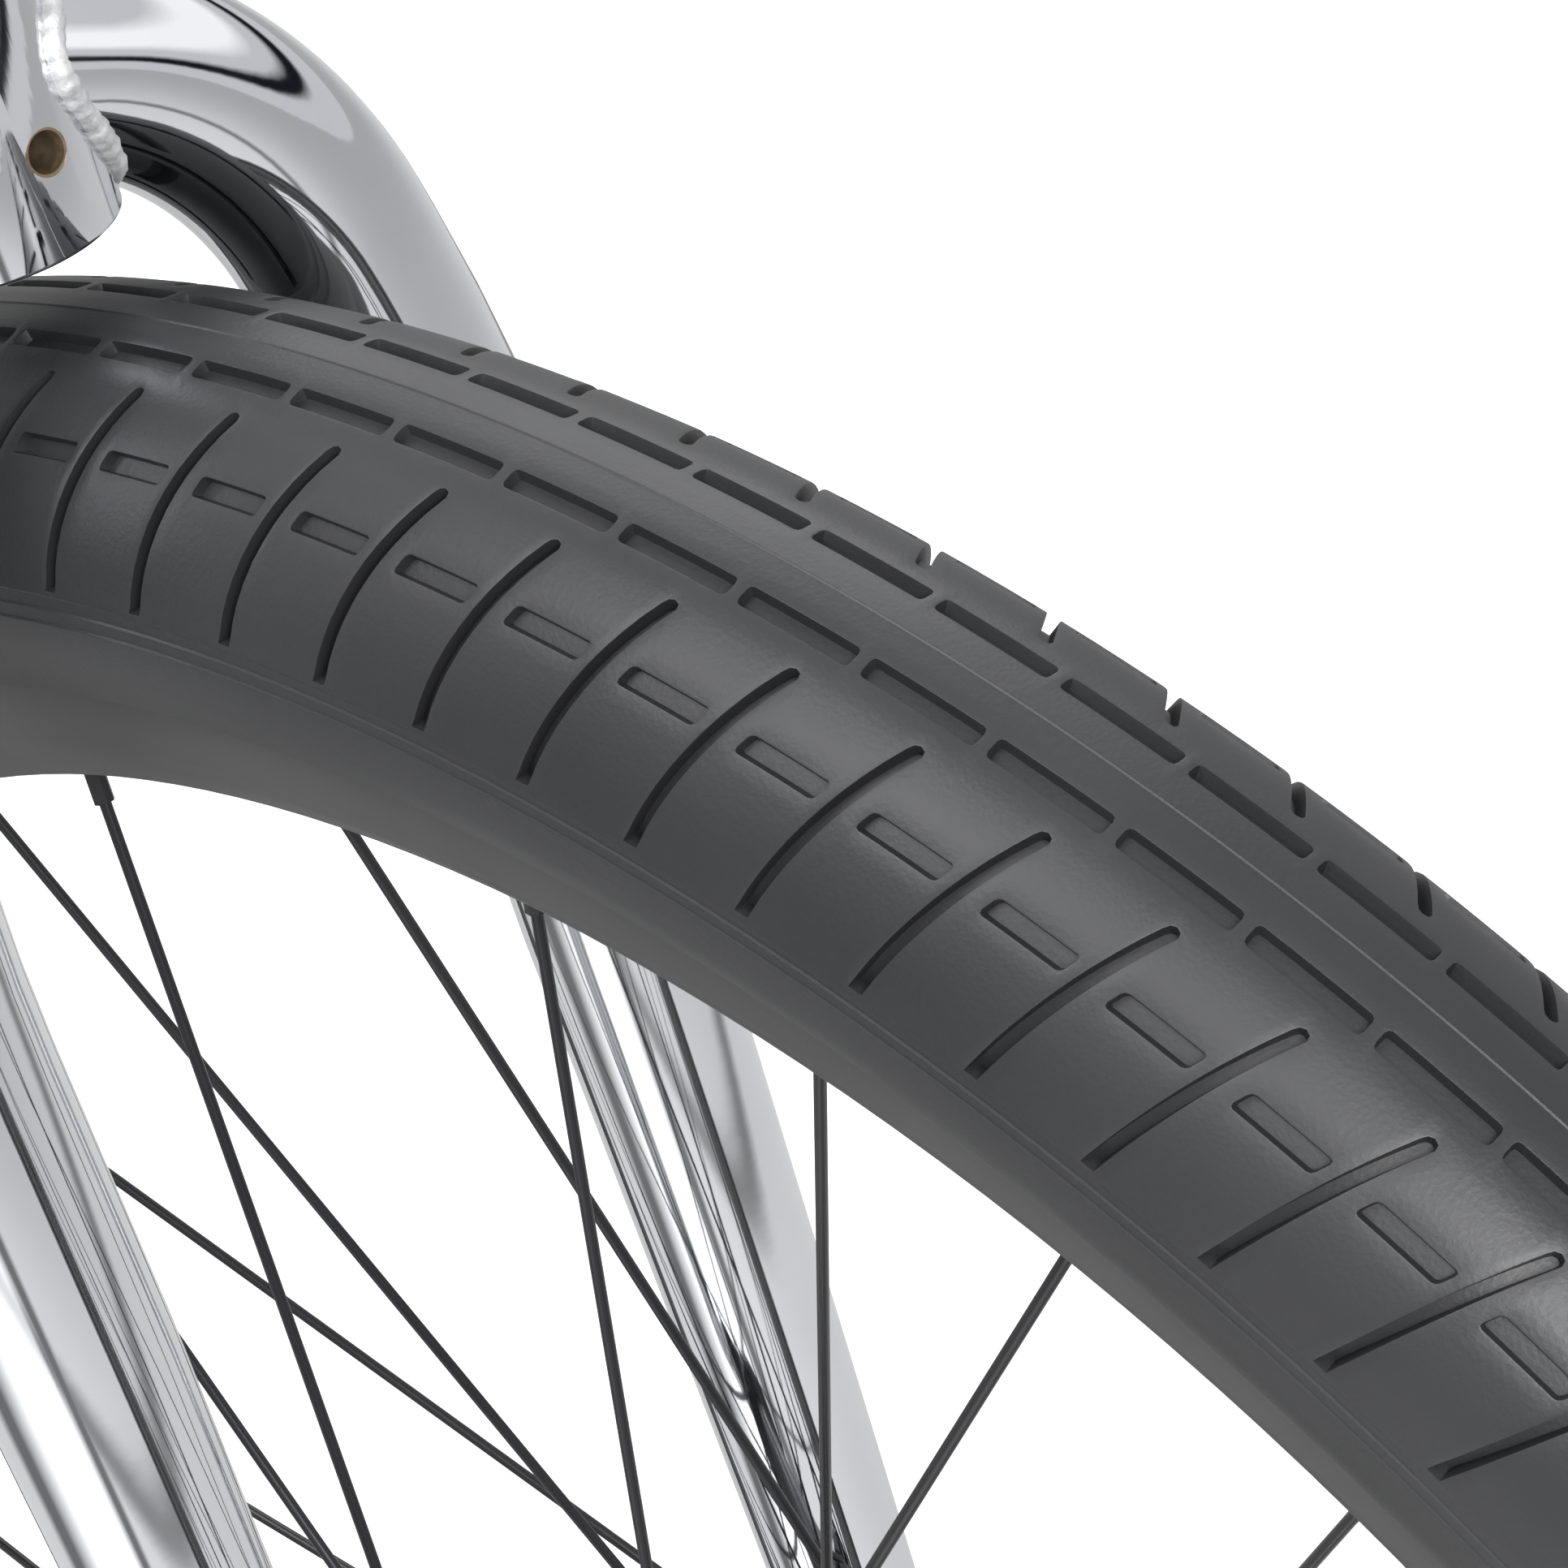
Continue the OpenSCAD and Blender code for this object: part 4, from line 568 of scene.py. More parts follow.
def make_fork():
    """Two legs, each with its bent shoulder and taper, cut round the crown and welded to it."""
    length = (CROWN_BEND * tan((SHOULDER_DROP - CROWN_DROP) / 2)
              + SHOULDER_BEND * tan((pi / 2 - SHOULDER_DROP) / 2) + 0.004)
    corner_y = LEG_Y - length * cos(SHOULDER_DROP)
    corner_a = CROWN_MEET - corner_y * tan(CROWN_DROP)
    knee_a = corner_a - length * sin(SHOULDER_DROP)
    for side, name in ((1, "left"), (-1, "right")):
        path = [on_steering(a, 0, side * y) for y, a in
                ((0.001, CROWN_MEET), (corner_y, corner_a), (LEG_Y, knee_a), (LEG_Y, TAPER_START))]
        leg = bent_tube(f"fork_leg_{name}", path, [CROWN_BEND, SHOULDER_BEND], LEG_R, sides=64, step=2.5)
        # the taper down to the dropout
        pick(leg)
        bpy.ops.object.mode_set(mode="EDIT")
        bpy.ops.mesh.select_mode(type="FACE")
        bpy.ops.mesh.select_all(action="DESELECT")
        bm = bmesh.from_edit_mesh(leg.data)
        low = min(bm.faces, key=lambda f: f.calc_center_median().z)
        low.select_set(True)
        bmesh.update_edit_mesh(leg.data)
        end = on_steering(LEG_LOW, 0, side * LEG_Y)
        bpy.ops.mesh.extrude_region_move(TRANSFORM_OT_translate={"value": end - path[-1]})
        k = LEG_END_R / LEG_R
        bpy.ops.transform.resize(value=(k, k, k), center_override=tuple(end))
        bpy.ops.object.mode_set(mode="OBJECT")
        crown = solid_rod(on_steering(CROWN_LOW - 0.02), on_steering(CROWN_MEET + 0.05), COLLAR_R, 96)
        cut_by(leg, crown)
        finish_piece(leg, "steering", chrome, "chrome_tube", "fork_legs")
        axis = (path[0] - path[1]).normalized()
        line = cope_line(path[1], axis, LEG_R, on_steering(0), HEAD_UP, WELD_R)
        weld(f"crown_weld_{name}", line, "steering", 0.0019, 0.0024, seed=side + 5)


def make_crown():
    """The collar that the legs are welded to, and the lining of the hole across it."""
    collar = solid_rod(on_steering(CROWN_LOW - 0.0004), on_steering(COLLAR_TOP), COLLAR_R, 96)
    pick(collar)
    apply_modifier(collar, "BEVEL", width=0.0007, segments=3, limit_method="ANGLE")
    across = COLLAR_R + 0.002
    bore = solid_rod(on_steering(CROWN_LOW - 0.01), on_steering(COLLAR_TOP + 0.01), CROWN_R - 0.0003, 96)
    back, front = on_steering(CROWN_HOLE_UP, -across), on_steering(CROWN_HOLE_UP, across)
    hole = solid_rod(back, front, CROWN_HOLE_R, 40)
    cut_by(collar, bore, hole)
    collar.name = "crown_collar"
    finish_piece(collar, "steering", chrome, "chrome_tube")
    lining = solid_rod(on_steering(CROWN_HOLE_UP, 0.0002 - COLLAR_R),
                       on_steering(CROWN_HOLE_UP, COLLAR_R - 0.0003), CROWN_HOLE_R + 0.0001, 40)
    inside = solid_rod(back, front, CROWN_HOLE_R - 0.0004, 40)
    cut_by(lining, inside)
    lining.name = "crown_hole_lining"
    finish_piece(lining, "steering", bare_steel, "steel")


make_fork()
make_crown()


# ---------------------------------------------------------------- frame tubes and bars
HEAD_R, TOP_TUBE_R, DOWN_TUBE_R, SEAT_TUBE_R, BB_SHELL_R = 0.024, 0.017, 0.019, 0.0159, 0.025
SEAT_STAY_R, CHAIN_STAY_R, STAY_END = 0.007, 0.008, 0.038
STAY_TOP, TOP_TUBE_BACK = 0.266, 0.260              # up the seat tube
TOP_TUBE_FRONT, DOWN_TUBE_FRONT = 0.4893, 0.4443    # up the steering axis
ACROSS = Vector((0, 1, 0))


def stay_point(t, y):
    """A point at share t of the way from the seat tube to the rear axle, y to one side."""
    p = on_seat_tube(STAY_TOP)
    v = REAR_AXLE - p
    return Vector((p.x + t * v.x, y, p.z + t * v.z))


STAY_TILT = math.asin((TYRE_R - BB.z) / (BB - REAR_AXLE).length)


def on_stay(x, y):
    """A point at x along the chain stays' run from the bottom bracket, y to one side."""
    return BB + Vector((x * cos(STAY_TILT), y, -x * sin(STAY_TILT)))


def make_stays():
    """Seat stays and chain stays, bent clear of the tyre and welded at their front ends."""
    reach = (on_seat_tube(STAY_TOP) - REAR_AXLE).length
    stay_len = (BB - REAR_AXLE).length
    for side, name in ((1, "left"), (-1, "right")):
        path = [stay_point(t, side * y) for t, y in
                ((0, 0.014), (0.05, 0.018), (0.17, 0.045), (1 - STAY_END / reach, 0.061))]
        stay = bent_tube(f"seat_stay_{name}", path, [0.025, 0.040], SEAT_STAY_R, sides=32)
        cut_by(stay, solid_rod(on_seat_tube(0.15), on_seat_tube(0.32), 0.016, 64))
        finish_piece(stay, "frame", chrome, "chrome_tube", "seat_stays")
        run = (path[0] - path[1]).normalized()
        line = cope_line(path[1], run, SEAT_STAY_R, on_seat_tube(0), SEAT_UP, SEAT_TUBE_R)
        weld(f"seat_stay_weld_{name}", line, "frame", 0.0016, 0.0022, seed=11 + side)
        path = [on_stay(0, side * 0.022), on_stay(-0.072, side * 0.0333), on_stay(-0.106, side * 0.046),
                on_stay(-(stay_len - STAY_END), side * 0.058)]
        stay = bent_tube(f"chain_stay_{name}", path, [0.060, 0.060], CHAIN_STAY_R, sides=32)
        cut_by(stay, solid_rod(BB - 0.06 * ACROSS, BB + 0.06 * ACROSS, BB_SHELL_R + 0.0001, 96))
        finish_piece(stay, "frame", chrome, "chrome_tube", "chain_stays")
        run = (path[0] - path[1]).normalized()
        line = cope_line(path[1], run, CHAIN_STAY_R, BB, ACROSS, BB_SHELL_R)
        weld(f"chain_stay_weld_{name}", line, "frame", 0.0018, 0.0024, seed=15 + side)


def make_frame_welds():
    """The welds at both ends of the top and down tubes and at the foot of the seat tube."""
    head, seat = on_steering(0), on_seat_tube(0)
    top_front, top_back = on_steering(TOP_TUBE_FRONT), on_seat_tube(TOP_TUBE_BACK)
    down_front = on_steering(DOWN_TUBE_FRONT)
    forward = (top_front - top_back).normalized()
    down = (BB - down_front).normalized()
    for name, p, run, r, q, along, host in (
            ("top_head", (top_front + top_back) / 2, forward, TOP_TUBE_R, head, HEAD_UP, HEAD_R),
            ("top_seat", (top_front + top_back) / 2, -forward, TOP_TUBE_R, seat, SEAT_UP, SEAT_TUBE_R),
            ("down_head", (BB + down_front) / 2, -down, DOWN_TUBE_R, head, HEAD_UP, HEAD_R),
            ("down_bottom", (BB + down_front) / 2, down, DOWN_TUBE_R, BB, ACROSS, BB_SHELL_R),
            ("seat_bottom", on_seat_tube(0.15), -SEAT_UP, SEAT_TUBE_R, BB, ACROSS, BB_SHELL_R)):
        line = cope_line(p, run, r, q, along, host, 128)
        weld(f"{name}_weld", line, "frame", 0.0023, 0.0029, seed=len(name))


CLAMP_UP, STEM_REACH, BAR_RISE, BAR_W, BAR_R = 0.5506, 0.053, 0.203, 0.730, 0.0111
BAR_BEND_Y, BAR_RISE_Y, CROSSBAR_H, CROSSBAR_R = 0.055, 0.140, 0.150, 0.008
BAR_SWEEP, BAR_UPSWEEP = radians(11), 0.008


def on_bars(x, y, z):
    """A point in the bars' own directions, measured from the middle of the stem's clamp."""
    return on_steering(CLAMP_UP + z, STEM_REACH + x, y)


def make_bars():
    """The bent bar, the crossbar cut to its rises, and the crossbar's two welds."""
    run = BAR_W / 2 - BAR_RISE_Y
    end = (-run * tan(BAR_SWEEP), BAR_W / 2, BAR_RISE + BAR_UPSWEEP)
    half = [(0, 0, 0), (0, BAR_BEND_Y, 0), (0, BAR_RISE_Y, BAR_RISE), end]
    left = [on_bars(*p) for p in half]
    right = [on_bars(x, -y, z) for x, y, z in half]
    bar = bent_tube("handlebar_tube", right[:0:-1] + left[1:], [0.050, 0.045, 0.045, 0.050], BAR_R,
                    sides=48, step=4)
    finish_piece(bar, "bars", chrome, "chrome_tube", "handlebar")
    y = BAR_BEND_Y + CROSSBAR_H / BAR_RISE * (BAR_RISE_Y - BAR_BEND_Y)
    ends = [on_bars(0, -y, CROSSBAR_H), on_bars(0, y, CROSSBAR_H)]
    cross = bent_tube("crossbar_tube", ends, [], CROSSBAR_R, 40)
    for s in (1, -1):
        foot, head = on_bars(0, s * BAR_BEND_Y, 0), on_bars(0, s * BAR_RISE_Y, BAR_RISE)
        cut_by(cross, solid_rod(foot, head, BAR_R + 0.0001, 64))
    finish_piece(cross, "bars", chrome, "chrome_tube", "crossbar")
    for s, name in ((1, "left"), (-1, "right")):
        foot = on_bars(0, s * BAR_BEND_Y, 0)
        axis = on_bars(0, s * BAR_RISE_Y, BAR_RISE) - foot
        line = cope_line(on_bars(0, 0, CROSSBAR_H), (0, s, 0), CROSSBAR_R, foot, axis, BAR_R)
        weld(f"crossbar_weld_{name}", line, "bars", 0.0017, 0.0023, seed=21 + s)


make_stays()
make_frame_welds()
make_bars()


# ---------------------------------------------------------------- rims and spokes
BEAD_SEAT_R, FLANGE_TOP_R, RIM_HALF, RIM_WALL = 0.2795, 0.2855, 0.0175, 0.0022
BED_R, BED_HALF, KNEE_R = 0.2595, 0.0095, 0.2685
SPOKES, SPOKE_PHASE, SPOKE_R, NIPPLE_R, NIPPLE_LEN = 32, 29.5, 0.001, 0.002, 0.009
FLANGE_T, SPOKE_LIFT = 0.003, 0.00115
SPOKE_SWEEP = 6                         # crossed three times, a spoke ends six holes on
INNER_LIFT, NIPPLE_SEAT, RIM_STAGGER = 0.0002, 0.001, 0.0015
ELBOW_IN, ELBOW_BEND, HEAD_IN, SPOKE_HEAD_R, SPOKE_HEAD_T = 0.0042, 0.0016, 0.0048, 0.0019, 0.0010
LACING = {"front": (0.036, 0.020), "rear": (0.029, 0.027)}    # flange distance, radius of its holes


def make_rim(name, axle, body, node):
    """The rim's section, spun round the wheel."""
    outer = [(FLANGE_TOP_R, RIM_HALF - 0.0018), (FLANGE_TOP_R, RIM_HALF - 0.0004),
             (FLANGE_TOP_R - 0.0005, RIM_HALF), (KNEE_R + 0.0035, RIM_HALF),
             (KNEE_R + 0.0012, RIM_HALF - 0.0003), (KNEE_R - 0.0008, RIM_HALF - 0.0015),
             (BED_R + 0.0012, BED_HALF + 0.0012), (BED_R + 0.0003, BED_HALF), (BED_R, BED_HALF - 0.0012)]
    inner = [(BEAD_SEAT_R, RIM_HALF - RIM_WALL), (FLANGE_TOP_R - 0.0008, RIM_HALF - RIM_WALL)]
    half = [(BEAD_SEAT_R, 0.0)] + inner + outer + [(BED_R, 0.0)]
    section = half + [(r, -y) for r, y in half[-2:0:-1]]
    bpy.ops.mesh.primitive_circle_add(vertices=len(section), radius=1, fill_type="NOTHING")
    obj = added(name)
    for v, (r, y) in zip(obj.data.vertices, section):
        v.co = axle + Vector((r, y, 0))
    pick(obj)
    bpy.ops.object.mode_set(mode="EDIT")
    bpy.ops.mesh.select_all(action="SELECT")
    bpy.ops.mesh.spin(steps=216, angle=2 * pi, center=axle, axis=(0, 1, 0))
    bpy.ops.object.mode_set(mode="OBJECT")
    outward(obj, 1e-6)
    smooth(obj, 25)
    return finish_piece(obj, body, rim_black, "black_alloy", node)


def polar(r, a, y):
    """A point on the wheel, at angle a from +X towards +Z, from its middle."""
    return Vector((r * cos(a), y, r * sin(a)))


def spoke_ends(flange_y, hole_r):
    """Each spoke as its hub end, its rim end and the flange face that it leaves."""
    step, cross = 360 / SPOKES, SPOKE_SWEEP * 360 / SPOKES
    ends = []
    for side in (-1, 1):
        for j in range(SPOKES // 4):
            for m in (0, 1):
                hub = SPOKE_PHASE + ((side + 1) / 2 + 4 * j + 2 * m) * step
                face = 1 if m == 0 else -1
                rim = hub + face * cross
                lift = SPOKE_LIFT if side == face else INNER_LIFT
                y = side * flange_y + face * (FLANGE_T / 2 + SPOKE_R + lift)
                rim_end = polar(BED_R + RIM_WALL + NIPPLE_SEAT, radians(rim), side * RIM_STAGGER)
                ends.append((polar(hole_r, radians(hub), y), rim_end, face))
    return ends


def make_spokes(wheel, axle, body):
    """Spokes with their elbows and heads, and nipples with a square-sided foot and a coned head."""
    spokes, nipples = [], []
    for hub, rim, face in spoke_ends(*LACING[wheel]):
        run = (rim - hub).normalized()
        across = Vector((0, -face, 0))
        line = [axle + hub + across * ELBOW_IN, axle + hub, axle + rim - 0.006 * run]
        spokes.append(bent_tube("spoke", line, [ELBOW_BEND], SPOKE_R, sides=10, step=22))
        # the spoke's round head, on the far side of the flange
        bpy.ops.mesh.primitive_cylinder_add(vertices=12, radius=SPOKE_HEAD_R, depth=SPOKE_HEAD_T,
                                            location=axle + hub + across * HEAD_IN, rotation=(pi / 2, 0, 0))
        spokes.append(added("head"))
        base = rim - (NIPPLE_LEN + RIM_WALL + NIPPLE_SEAT) * run
        turn = run.to_track_quat("Z", "Y").to_euler()
        bpy.ops.mesh.primitive_cylinder_add(vertices=8, radius=NIPPLE_R * 0.86, depth=0.006,
                                            location=axle + base + run * 0.0030, rotation=turn)
        nipples.append(added("nipple"))
        bpy.ops.mesh.primitive_cone_add(vertices=16, radius1=NIPPLE_R * 0.72, radius2=NIPPLE_R,
                                        depth=0.0062, location=axle + base + run * 0.0085, rotation=turn)
        nipples.append(added("nipple"))
    for group, name, node in ((spokes, f"{wheel}_spoke_set", f"{wheel}_spokes"),
                              (nipples, f"{wheel}_nipple_set", f"{wheel}_nipples")):
        deselect()
        for obj in group:
            obj.select_set(True)
        bpy.context.view_layer.objects.active = group[0]
        bpy.ops.object.join()
        obj = bpy.context.object
        obj.name = name
        smooth(obj, 40)
        finish_piece(obj, body, spoke_black, "black_wire", node)


for wheel, axle in (("front", FRONT_AXLE), ("rear", REAR_AXLE)):
    make_rim(f"{wheel}_rim_ring", axle, f"{wheel}_wheel", f"{wheel}_rim")
    make_spokes(wheel, axle, f"{wheel}_wheel")


# ---------------------------------------------------------------- parts with the built shape, edges softened
BODY_OF = {node: body for body, nodes in frame["record"]["behaviour"]["bodies"].items() for node in nodes}


def softened(node, finish, slot, edge):
    """A copy of a built part, merged into one skin, its edges rounded and its curves smooth."""
    source = frame["nodes"][node]
    obj = bpy.data.objects.new(node + "_finished", source.data.copy())
    scene.collection.objects.link(obj)
    pick(obj)
    bpy.ops.object.mode_set(mode="EDIT")
    bpy.ops.mesh.select_all(action="SELECT")
    bpy.ops.mesh.remove_doubles(threshold=1e-6)
    bpy.ops.mesh.customdata_custom_splitnormals_clear()
    if edge:
        bpy.ops.mesh.dissolve_limited(angle_limit=radians(1.0))
    bpy.ops.object.mode_set(mode="OBJECT")
    if edge:
        apply_modifier(obj, "BEVEL", width=edge, segments=2, limit_method="ANGLE",
                       angle_limit=radians(40), use_clamp_overlap=True, miter_outer="MITER_ARC")
    smooth(obj, 30)
    return finish_piece(obj, BODY_OF[node], finish, slot, node)


# finish, its slot, the width of the rounded edge, and the parts
SOFTENED = [
    (chrome, "chrome_tube", 0.0, ["head_tube", "top_tube", "down_tube", "seat_tube", "bb_shell",
                                  "stay_bridges", "steerer"]),
    (chrome, "chrome_tube", 0.0006, ["rear_dropouts", "fork_dropouts", "crank_arms"]),
    (satin_black, "black_alloy", 0.0007, ["stem", "stem_face_plate", "seat_clamp"]),
    (satin_black, "black_alloy", 0.0004, ["headset_spacers", "top_cap", "front_hub", "rear_hub",
                                          "seat_post"]),
    (satin_black, "black_alloy", 0.00025, ["sprocket"]),
    (steel, "steel", 0.0003, ["rear_axle", "front_axle", "crown_race", "freewheel_core", "crank_spindle",
                              "pedal_axles"]),
    (steel, "steel", 0.0, ["headset_bearings", "bb_bearings", "front_hub_bearings", "rear_hub_bearings",
                           "freewheel_cog"]),
    (chain_steel, "steel", 0.0, ["chain"]),
    (bolt_black, "bolts", 0.0003, ["seat_clamp_bolt", "stem_bolts", "crank_bolts", "seat_bolt",
                                   "rear_axle_nuts", "front_axle_nuts"]),
    (nylon, "black_plastic", 0.0008, ["left_pedal", "right_pedal", "seat_base"]),
    (nylon, "black_plastic", 0.0004, ["bar_end_plugs"]),
]
for finish, slot, edge, nodes in SOFTENED:
    for node in nodes:
        softened(node, finish, slot, edge)

# the part of a fork dropout that is let into the leg stays out of sight
tongue = solid_rod(on_steering(LEG_LOW + 0.003), on_steering(LEG_LOW + 0.05), 0.09, 24)
cut_by(bpy.data.objects["fork_dropouts_finished"], tongue)


# ---------------------------------------------------------------- grips
def turned(name, origin, axis, profile, steps=64):
    """A shape of revolution: profile is a closed loop of (distance along the axis, radius)."""
    axis = Vector(axis).normalized()
    side = axis.orthogonal().normalized()
    bpy.ops.mesh.primitive_circle_add(vertices=len(profile), radius=1, fill_type="NOTHING")
    obj = added(name)
    for v, (along, radius) in zip(obj.data.vertices, profile):
        v.co = Vector(origin) + along * axis + radius * side
    pick(obj)
    bpy.ops.object.mode_set(mode="EDIT")
    bpy.ops.mesh.select_all(action="SELECT")
    bpy.ops.mesh.spin(steps=steps, angle=2 * pi, center=origin, axis=axis)
    bpy.ops.object.mode_set(mode="OBJECT")
    outward(obj, 1e-6)
    smooth(obj, 35)
    return obj


GRIP_R, GRIP_LEN, GRIP_DEEP = 0.015, 0.145, 0.0016
FIN_START, FIN_STEP, FIN_STOP, BARE_BAND = 0.010, 0.0036, 0.016, (0.066, 0.076)


def make_grips():
    """A ribbed grip with a ring of fins, a low band in the middle and a closed lip at each end."""
    for s, name in ((1, "left"), (-1, "right")):
        run = BAR_W / 2 - BAR_RISE_Y
        end = on_bars(-run * tan(BAR_SWEEP), s * BAR_W / 2, BAR_RISE + BAR_UPSWEEP)
        axis = (end - on_bars(0, s * BAR_RISE_Y, BAR_RISE)).normalized()
        inner = end - GRIP_LEN * axis
        low, bore = GRIP_R - GRIP_DEEP, BAR_R + 0.0001
        profile = [(0.0, bore), (0.0, GRIP_R - 0.0006), (0.0006, GRIP_R), (0.0060, GRIP_R), (0.0068, low)]
        x = FIN_START
        while x < GRIP_LEN - FIN_STOP:
            if not BARE_BAND[0] < x < BARE_BAND[1]:
                profile += [(x, low), (x + 0.0005, GRIP_R - 0.0003), (x + 0.0012, GRIP_R - 0.0001),
                            (x + 0.0019, GRIP_R - 0.0003), (x + 0.0024, low)]
            x += FIN_STEP
        profile += [(GRIP_LEN - 0.0090, low), (GRIP_LEN - 0.0082, GRIP_R), (GRIP_LEN - 0.0006, GRIP_R),
                    (GRIP_LEN, GRIP_R - 0.0006), (GRIP_LEN, bore)]
        grip = turned(f"grip_{name}", inner, axis, profile, 56)
        finish_piece(grip, "bars", plain_rubber, "rubber", "grips")


make_grips()


# ---------------------------------------------------------------- seat cover
def cover_fabric():
    """Woven cover: crossed threads in two tones, with a soft sheen."""
    mat, n, shader = material("woven cover", colour(0.03), Roughness=0.85, Sheen_Weight=0.35,
                              Sheen_Roughness=0.5)
    place = n.add("ShaderNodeTexCoord").outputs["Object"]
    threads = {"Vector": place, "Scale": 260.0, "Distortion": 0.4}
    warp = n.add("ShaderNodeTexWave", threads, bands_direction="X")
    weft = n.add("ShaderNodeTexWave", threads, bands_direction="Y")
    weave = n.math("MAXIMUM", warp.outputs[1], weft.outputs[1])
    patch = n.add("ShaderNodeGroup", node_tree=grain_group)
    patch.inputs["Scale"].default_value = 700.0
    patch.inputs["Patches"].default_value = 25.0
    tone = n.math("MULTIPLY", weave, n.ramp(patch.outputs["Patch"], 0.0, 1.0, 0.6, 1.0))
    n.link(n.mix(tone, colour(0.016, 0.016, 0.018), colour(0.05, 0.05, 0.054)), shader.inputs["Base Color"])
    height = n.math("ADD", weave, n.math("MULTIPLY", patch.outputs["Height"], 0.3))
    relief = n.add("ShaderNodeBump", {"Height": height, "Strength": 0.5, "Distance": 0.0004})
    n.link(relief.outputs[0], shader.inputs["Normal"])
    return mat


PAD_SHRINK, PAD_VOXEL, PAD_PRESSURE, PAD_STEPS, PAD_SWELL = 0.975, 0.0045, 4.0, 20, 0.004
PAD_FLAT, SEAM_ABOVE, SEAM_DEEP, SEAM_W, SEAM_ACROSS = 0.0006, 0.012, 0.0016, 0.0018, 0.052
SEAT_TILT = radians(8)
SEAT_AXIS = on_seat_tube(0.384)
SEAT_FWD = Vector((cos(SEAT_TILT), 0, sin(SEAT_TILT)))
SEAT_HIGH = Vector((-sin(SEAT_TILT), 0, cos(SEAT_TILT)))


def seat_local(p):
    """A point in the seat's own directions: forward, left and up, from its tilt axis."""
    d = p - SEAT_AXIS
    return Vector((d.dot(SEAT_FWD), d.y, d.dot(SEAT_HIGH)))


def make_seat():
    """The pad, blown up as cloth from the built shape, then pulled in along its sewn lines."""
    source = frame["nodes"]["seat_pad"]
    pad = bpy.data.objects.new("seat_cover", source.data.copy())
    scene.collection.objects.link(pad)
    pick(pad)
    bpy.ops.object.mode_set(mode="EDIT")
    bpy.ops.mesh.select_all(action="SELECT")
    bpy.ops.mesh.remove_doubles(threshold=1e-6)
    bpy.ops.object.mode_set(mode="OBJECT")
    low = min(seat_local(v.co).z for v in pad.data.vertices)
    start = [v.co.copy() for v in pad.data.vertices]
    middle = sum(start, Vector()) / len(start)
    for v in pad.data.vertices:
        v.co = middle + (v.co - middle) * PAD_SHRINK
    apply_modifier(pad, "REMESH", mode="VOXEL", voxel_size=PAD_VOXEL)
    before = [v.co.copy() for v in pad.data.vertices]
    pick(pad)
    cloth = pad.modifiers.new("cloth", "CLOTH")
    cloth.settings.use_pressure = True
    cloth.settings.uniform_pressure_force = PAD_PRESSURE
    cloth.settings.effector_weights.gravity = 0.0
    cloth.point_cache.frame_start, cloth.point_cache.frame_end = 1, PAD_STEPS
    for step in range(1, PAD_STEPS + 1):
        scene.frame_set(step)
    bpy.ops.object.modifier_apply(modifier=cloth.name)
    for v, was in zip(pad.data.vertices, before):
        push = v.co - was
        if push.length > PAD_SWELL:
            v.co = was + push.normalized() * PAD_SWELL
    scene.frame_set(1)
    # flat underneath, with sewn lines that follow the outline and cross the middle
    for v in pad.data.vertices:
        p = seat_local(v.co)
        if p.z < low + PAD_FLAT:
            v.co += SEAT_HIGH * (low + PAD_FLAT - p.z)
    apply_modifier(pad, "SUBSURF", levels=1, render_levels=1)
    for v in pad.data.vertices:
        p = seat_local(v.co)
        if p.z > low + SEAM_ABOVE:
            spread = 0.012 + 0.12 * max(0.0, 0.06 - p.x)
            line = min(abs(abs(p.y) - spread), abs(p.x - SEAM_ACROSS))
            v.co -= SEAT_HIGH * SEAM_DEEP * math.exp(-(line / SEAM_W) ** 2)
    smooth(pad, 60)
    finish_piece(pad, "seat", cover_fabric(), "seat_cover", "seat_pad")


make_seat()


# ---------------------------------------------------------------- light and floor
# the ring of painted shade that polished metal sees on the floor, for glossy rays only: where it begins, is
# full, fades and ends, in metres
REFLECTED_SHADE_RING = (1.04, 1.12, 1.16, 1.26)
# sectors of floor that polished metal sees as painted shade, painted light and a thin painted dark line, for
# glossy rays only, by bearing in radians
SHADE_SECTOR, LIGHT_SECTOR = (-1.60, -1.40, -1.22, -1.00), (-1.00, -0.80, -0.16, -0.10)
LINE_SECTOR = (-0.10, -0.04, 0.03, 0.10)
AHEAD, ASIDE = (0.670, -0.742, 0), (0.742, 0.670, 0)    # bearings are taken from ahead towards aside
REFLECTED_DIM, LIGHT_GAIN, RING_DEPTH, SECTOR_DEPTH = 0.58, 0.34, 0.30, 0.34
FLOOR_WHITE, FLOOR_GLOW = 0.86, 0.40


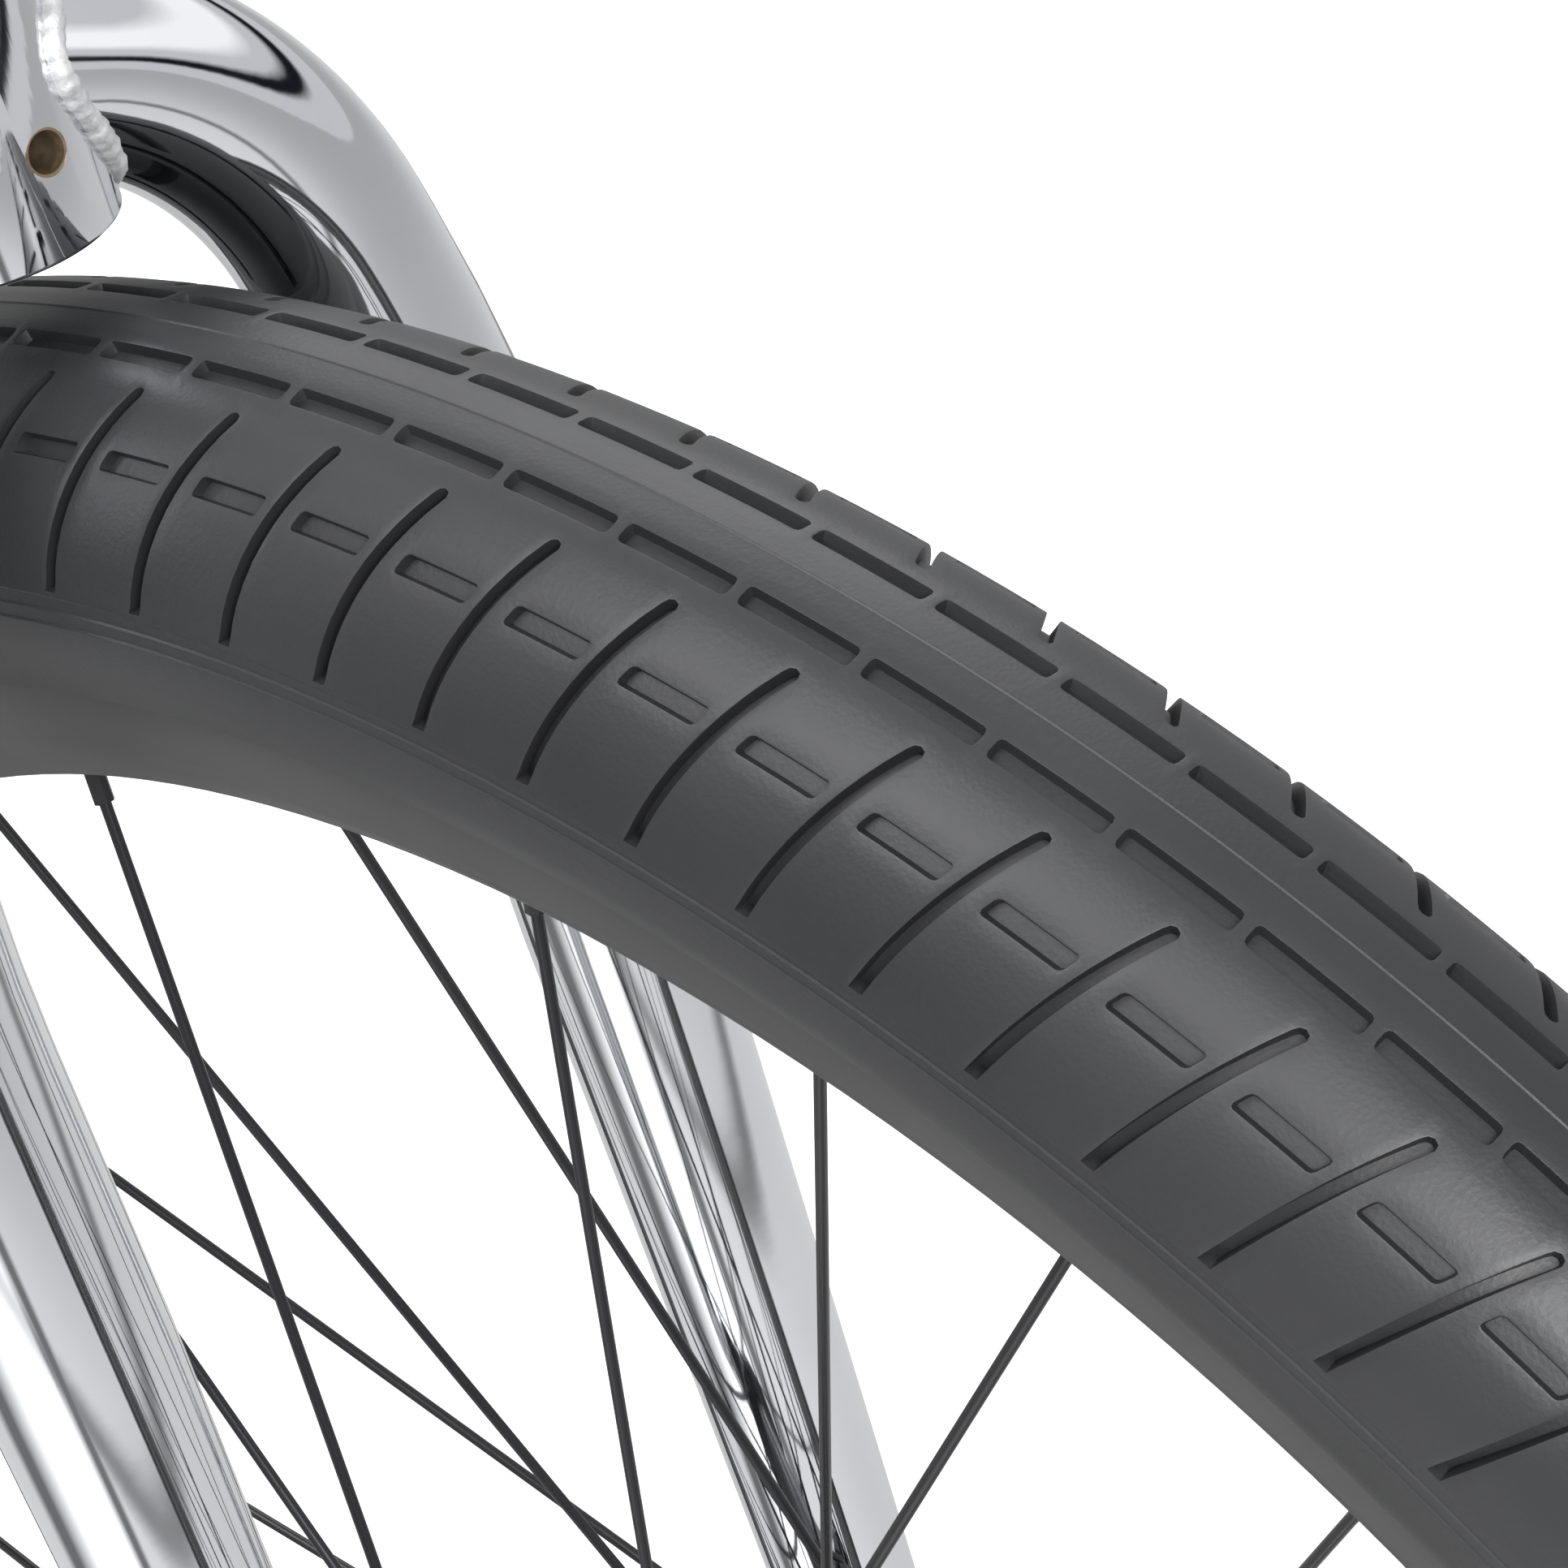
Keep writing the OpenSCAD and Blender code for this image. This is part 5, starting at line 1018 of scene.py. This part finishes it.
def make_floor():
    """A pale floor; polished metal sees it greyer, with a painted reflection of a darker ring and sectors of
    shade and light that only glossy rays find.
    """
    bpy.ops.mesh.primitive_plane_add(size=14, location=(0, 0, -0.0005))
    floor = added("floor")
    mat, n, shader = material("pale floor", colour(FLOOR_WHITE), Roughness=0.8)
    place = n.add("ShaderNodeTexCoord").outputs["Object"]
    centre = (FRONT_AXLE.x, 0, 0)
    apart = n.add("ShaderNodeVectorMath", {0: place, 1: centre}, operation="DISTANCE").outputs["Value"]
    # painted reflection: the ring and the sectors below are painted shade and light for glossy rays only
    ring = n.band(apart, *REFLECTED_SHADE_RING)
    offset = n.add("ShaderNodeVectorMath", {0: place, 1: centre}, operation="SUBTRACT").outputs["Vector"]
    dots = [n.add("ShaderNodeVectorMath", {0: offset, 1: way}, operation="DOT_PRODUCT")
            for way in (ASIDE, AHEAD)]
    bearing = n.math("ARCTAN2", *(dot.outputs["Value"] for dot in dots))
    sectors = n.math("MAXIMUM", n.band(bearing, *SHADE_SECTOR), n.band(bearing, *LINE_SECTOR))
    dark = n.math("MAXIMUM", n.math("MULTIPLY", ring, RING_DEPTH), n.math("MULTIPLY", sectors, SECTOR_DEPTH))
    lit = n.math("MULTIPLY", n.band(bearing, *LIGHT_SECTOR), LIGHT_GAIN)
    less = n.math("ADD", n.math("SUBTRACT", REFLECTED_DIM, lit), dark)
    # painted reflection: glossy rays see the floor dimmed, with the painted ring and the painted shade, light
    # and line sectors; other rays see it evenly pale
    glossy = n.add("ShaderNodeLightPath").outputs["Is Glossy Ray"]
    keep = n.math("SUBTRACT", 1.0, n.math("MULTIPLY", glossy, less))
    shader.inputs["Emission Color"].default_value = colour(1.0)
    n.link(n.math("MULTIPLY", keep, FLOOR_GLOW), shader.inputs["Emission Strength"])
    n.link(n.mix(keep, colour(0.0), colour(FLOOR_WHITE)), shader.inputs["Base Color"])
    floor.data.materials.append(mat)


# heights of the dark gap and the bright strip that reflections find, as the sine of the elevation
SKY_GAP, SKY_STRIP = (-0.01, 0.01, 0.04, 0.07), (0.11, 0.16, 0.26, 0.34)
SKY_STRENGTH = 0.72
# each light's name, the way to it from the front axle, its distance, size and power
LIGHTS = [("key", (0.56, -0.40, 0.72), 1.7, 0.7, 26), ("top", (-0.25, -0.45, 0.86), 2.4, 1.2, 34),
          ("back", (-0.5, 0.6, 0.62), 2.6, 1.6, 24)]


def make_world():
    """A soft room: reflections find a dark gap at the horizon, a bright strip and a greyer ceiling."""
    world = bpy.data.worlds.new("studio")
    scene.world = world
    world.use_nodes = True
    n = Nodes(world.node_tree)
    ray = n.add("ShaderNodeTexCoord").outputs["Generated"]
    height = n.add("ShaderNodeSeparateXYZ", {0: ray}).outputs["Z"]
    sky = n.mix(n.band(height, *SKY_STRIP), colour(0.92, 0.93, 0.95), colour(1.6))
    sky = n.mix(n.band(height, *SKY_GAP), sky, colour(0.010, 0.011, 0.018))
    path = n.add("ShaderNodeLightPath")
    plain = n.mix(path.outputs["Is Camera Ray"], colour(1.0), colour(1.4))
    back = world.node_tree.nodes["Background"]
    n.link(n.mix(path.outputs["Is Glossy Ray"], plain, sky), back.inputs["Color"])
    back.inputs["Strength"].default_value = SKY_STRENGTH


def make_studio():
    make_floor()
    make_world()
    for name, toward, away, size, power in LIGHTS:
        data = bpy.data.lights.new(name, "AREA")
        data.size, data.energy = size, power
        lamp = bpy.data.objects.new(name, data)
        lamp.location = FRONT_AXLE + away * Vector(toward).normalized()
        lamp.rotation_euler = (-Vector(toward)).to_track_quat("-Z", "Y").to_euler()
        scene.collection.objects.link(lamp)
    scene.view_settings.view_transform = "Standard"


make_studio()

# what stays hidden inside the wheels keeps its built shape
for name in ("front_inner_tube", "rear_inner_tube", "front_rim_strip", "rear_rim_strip"):
    node = frame["nodes"][name]
    node.data.materials.clear()
    node.data.materials.append(plain_rubber)
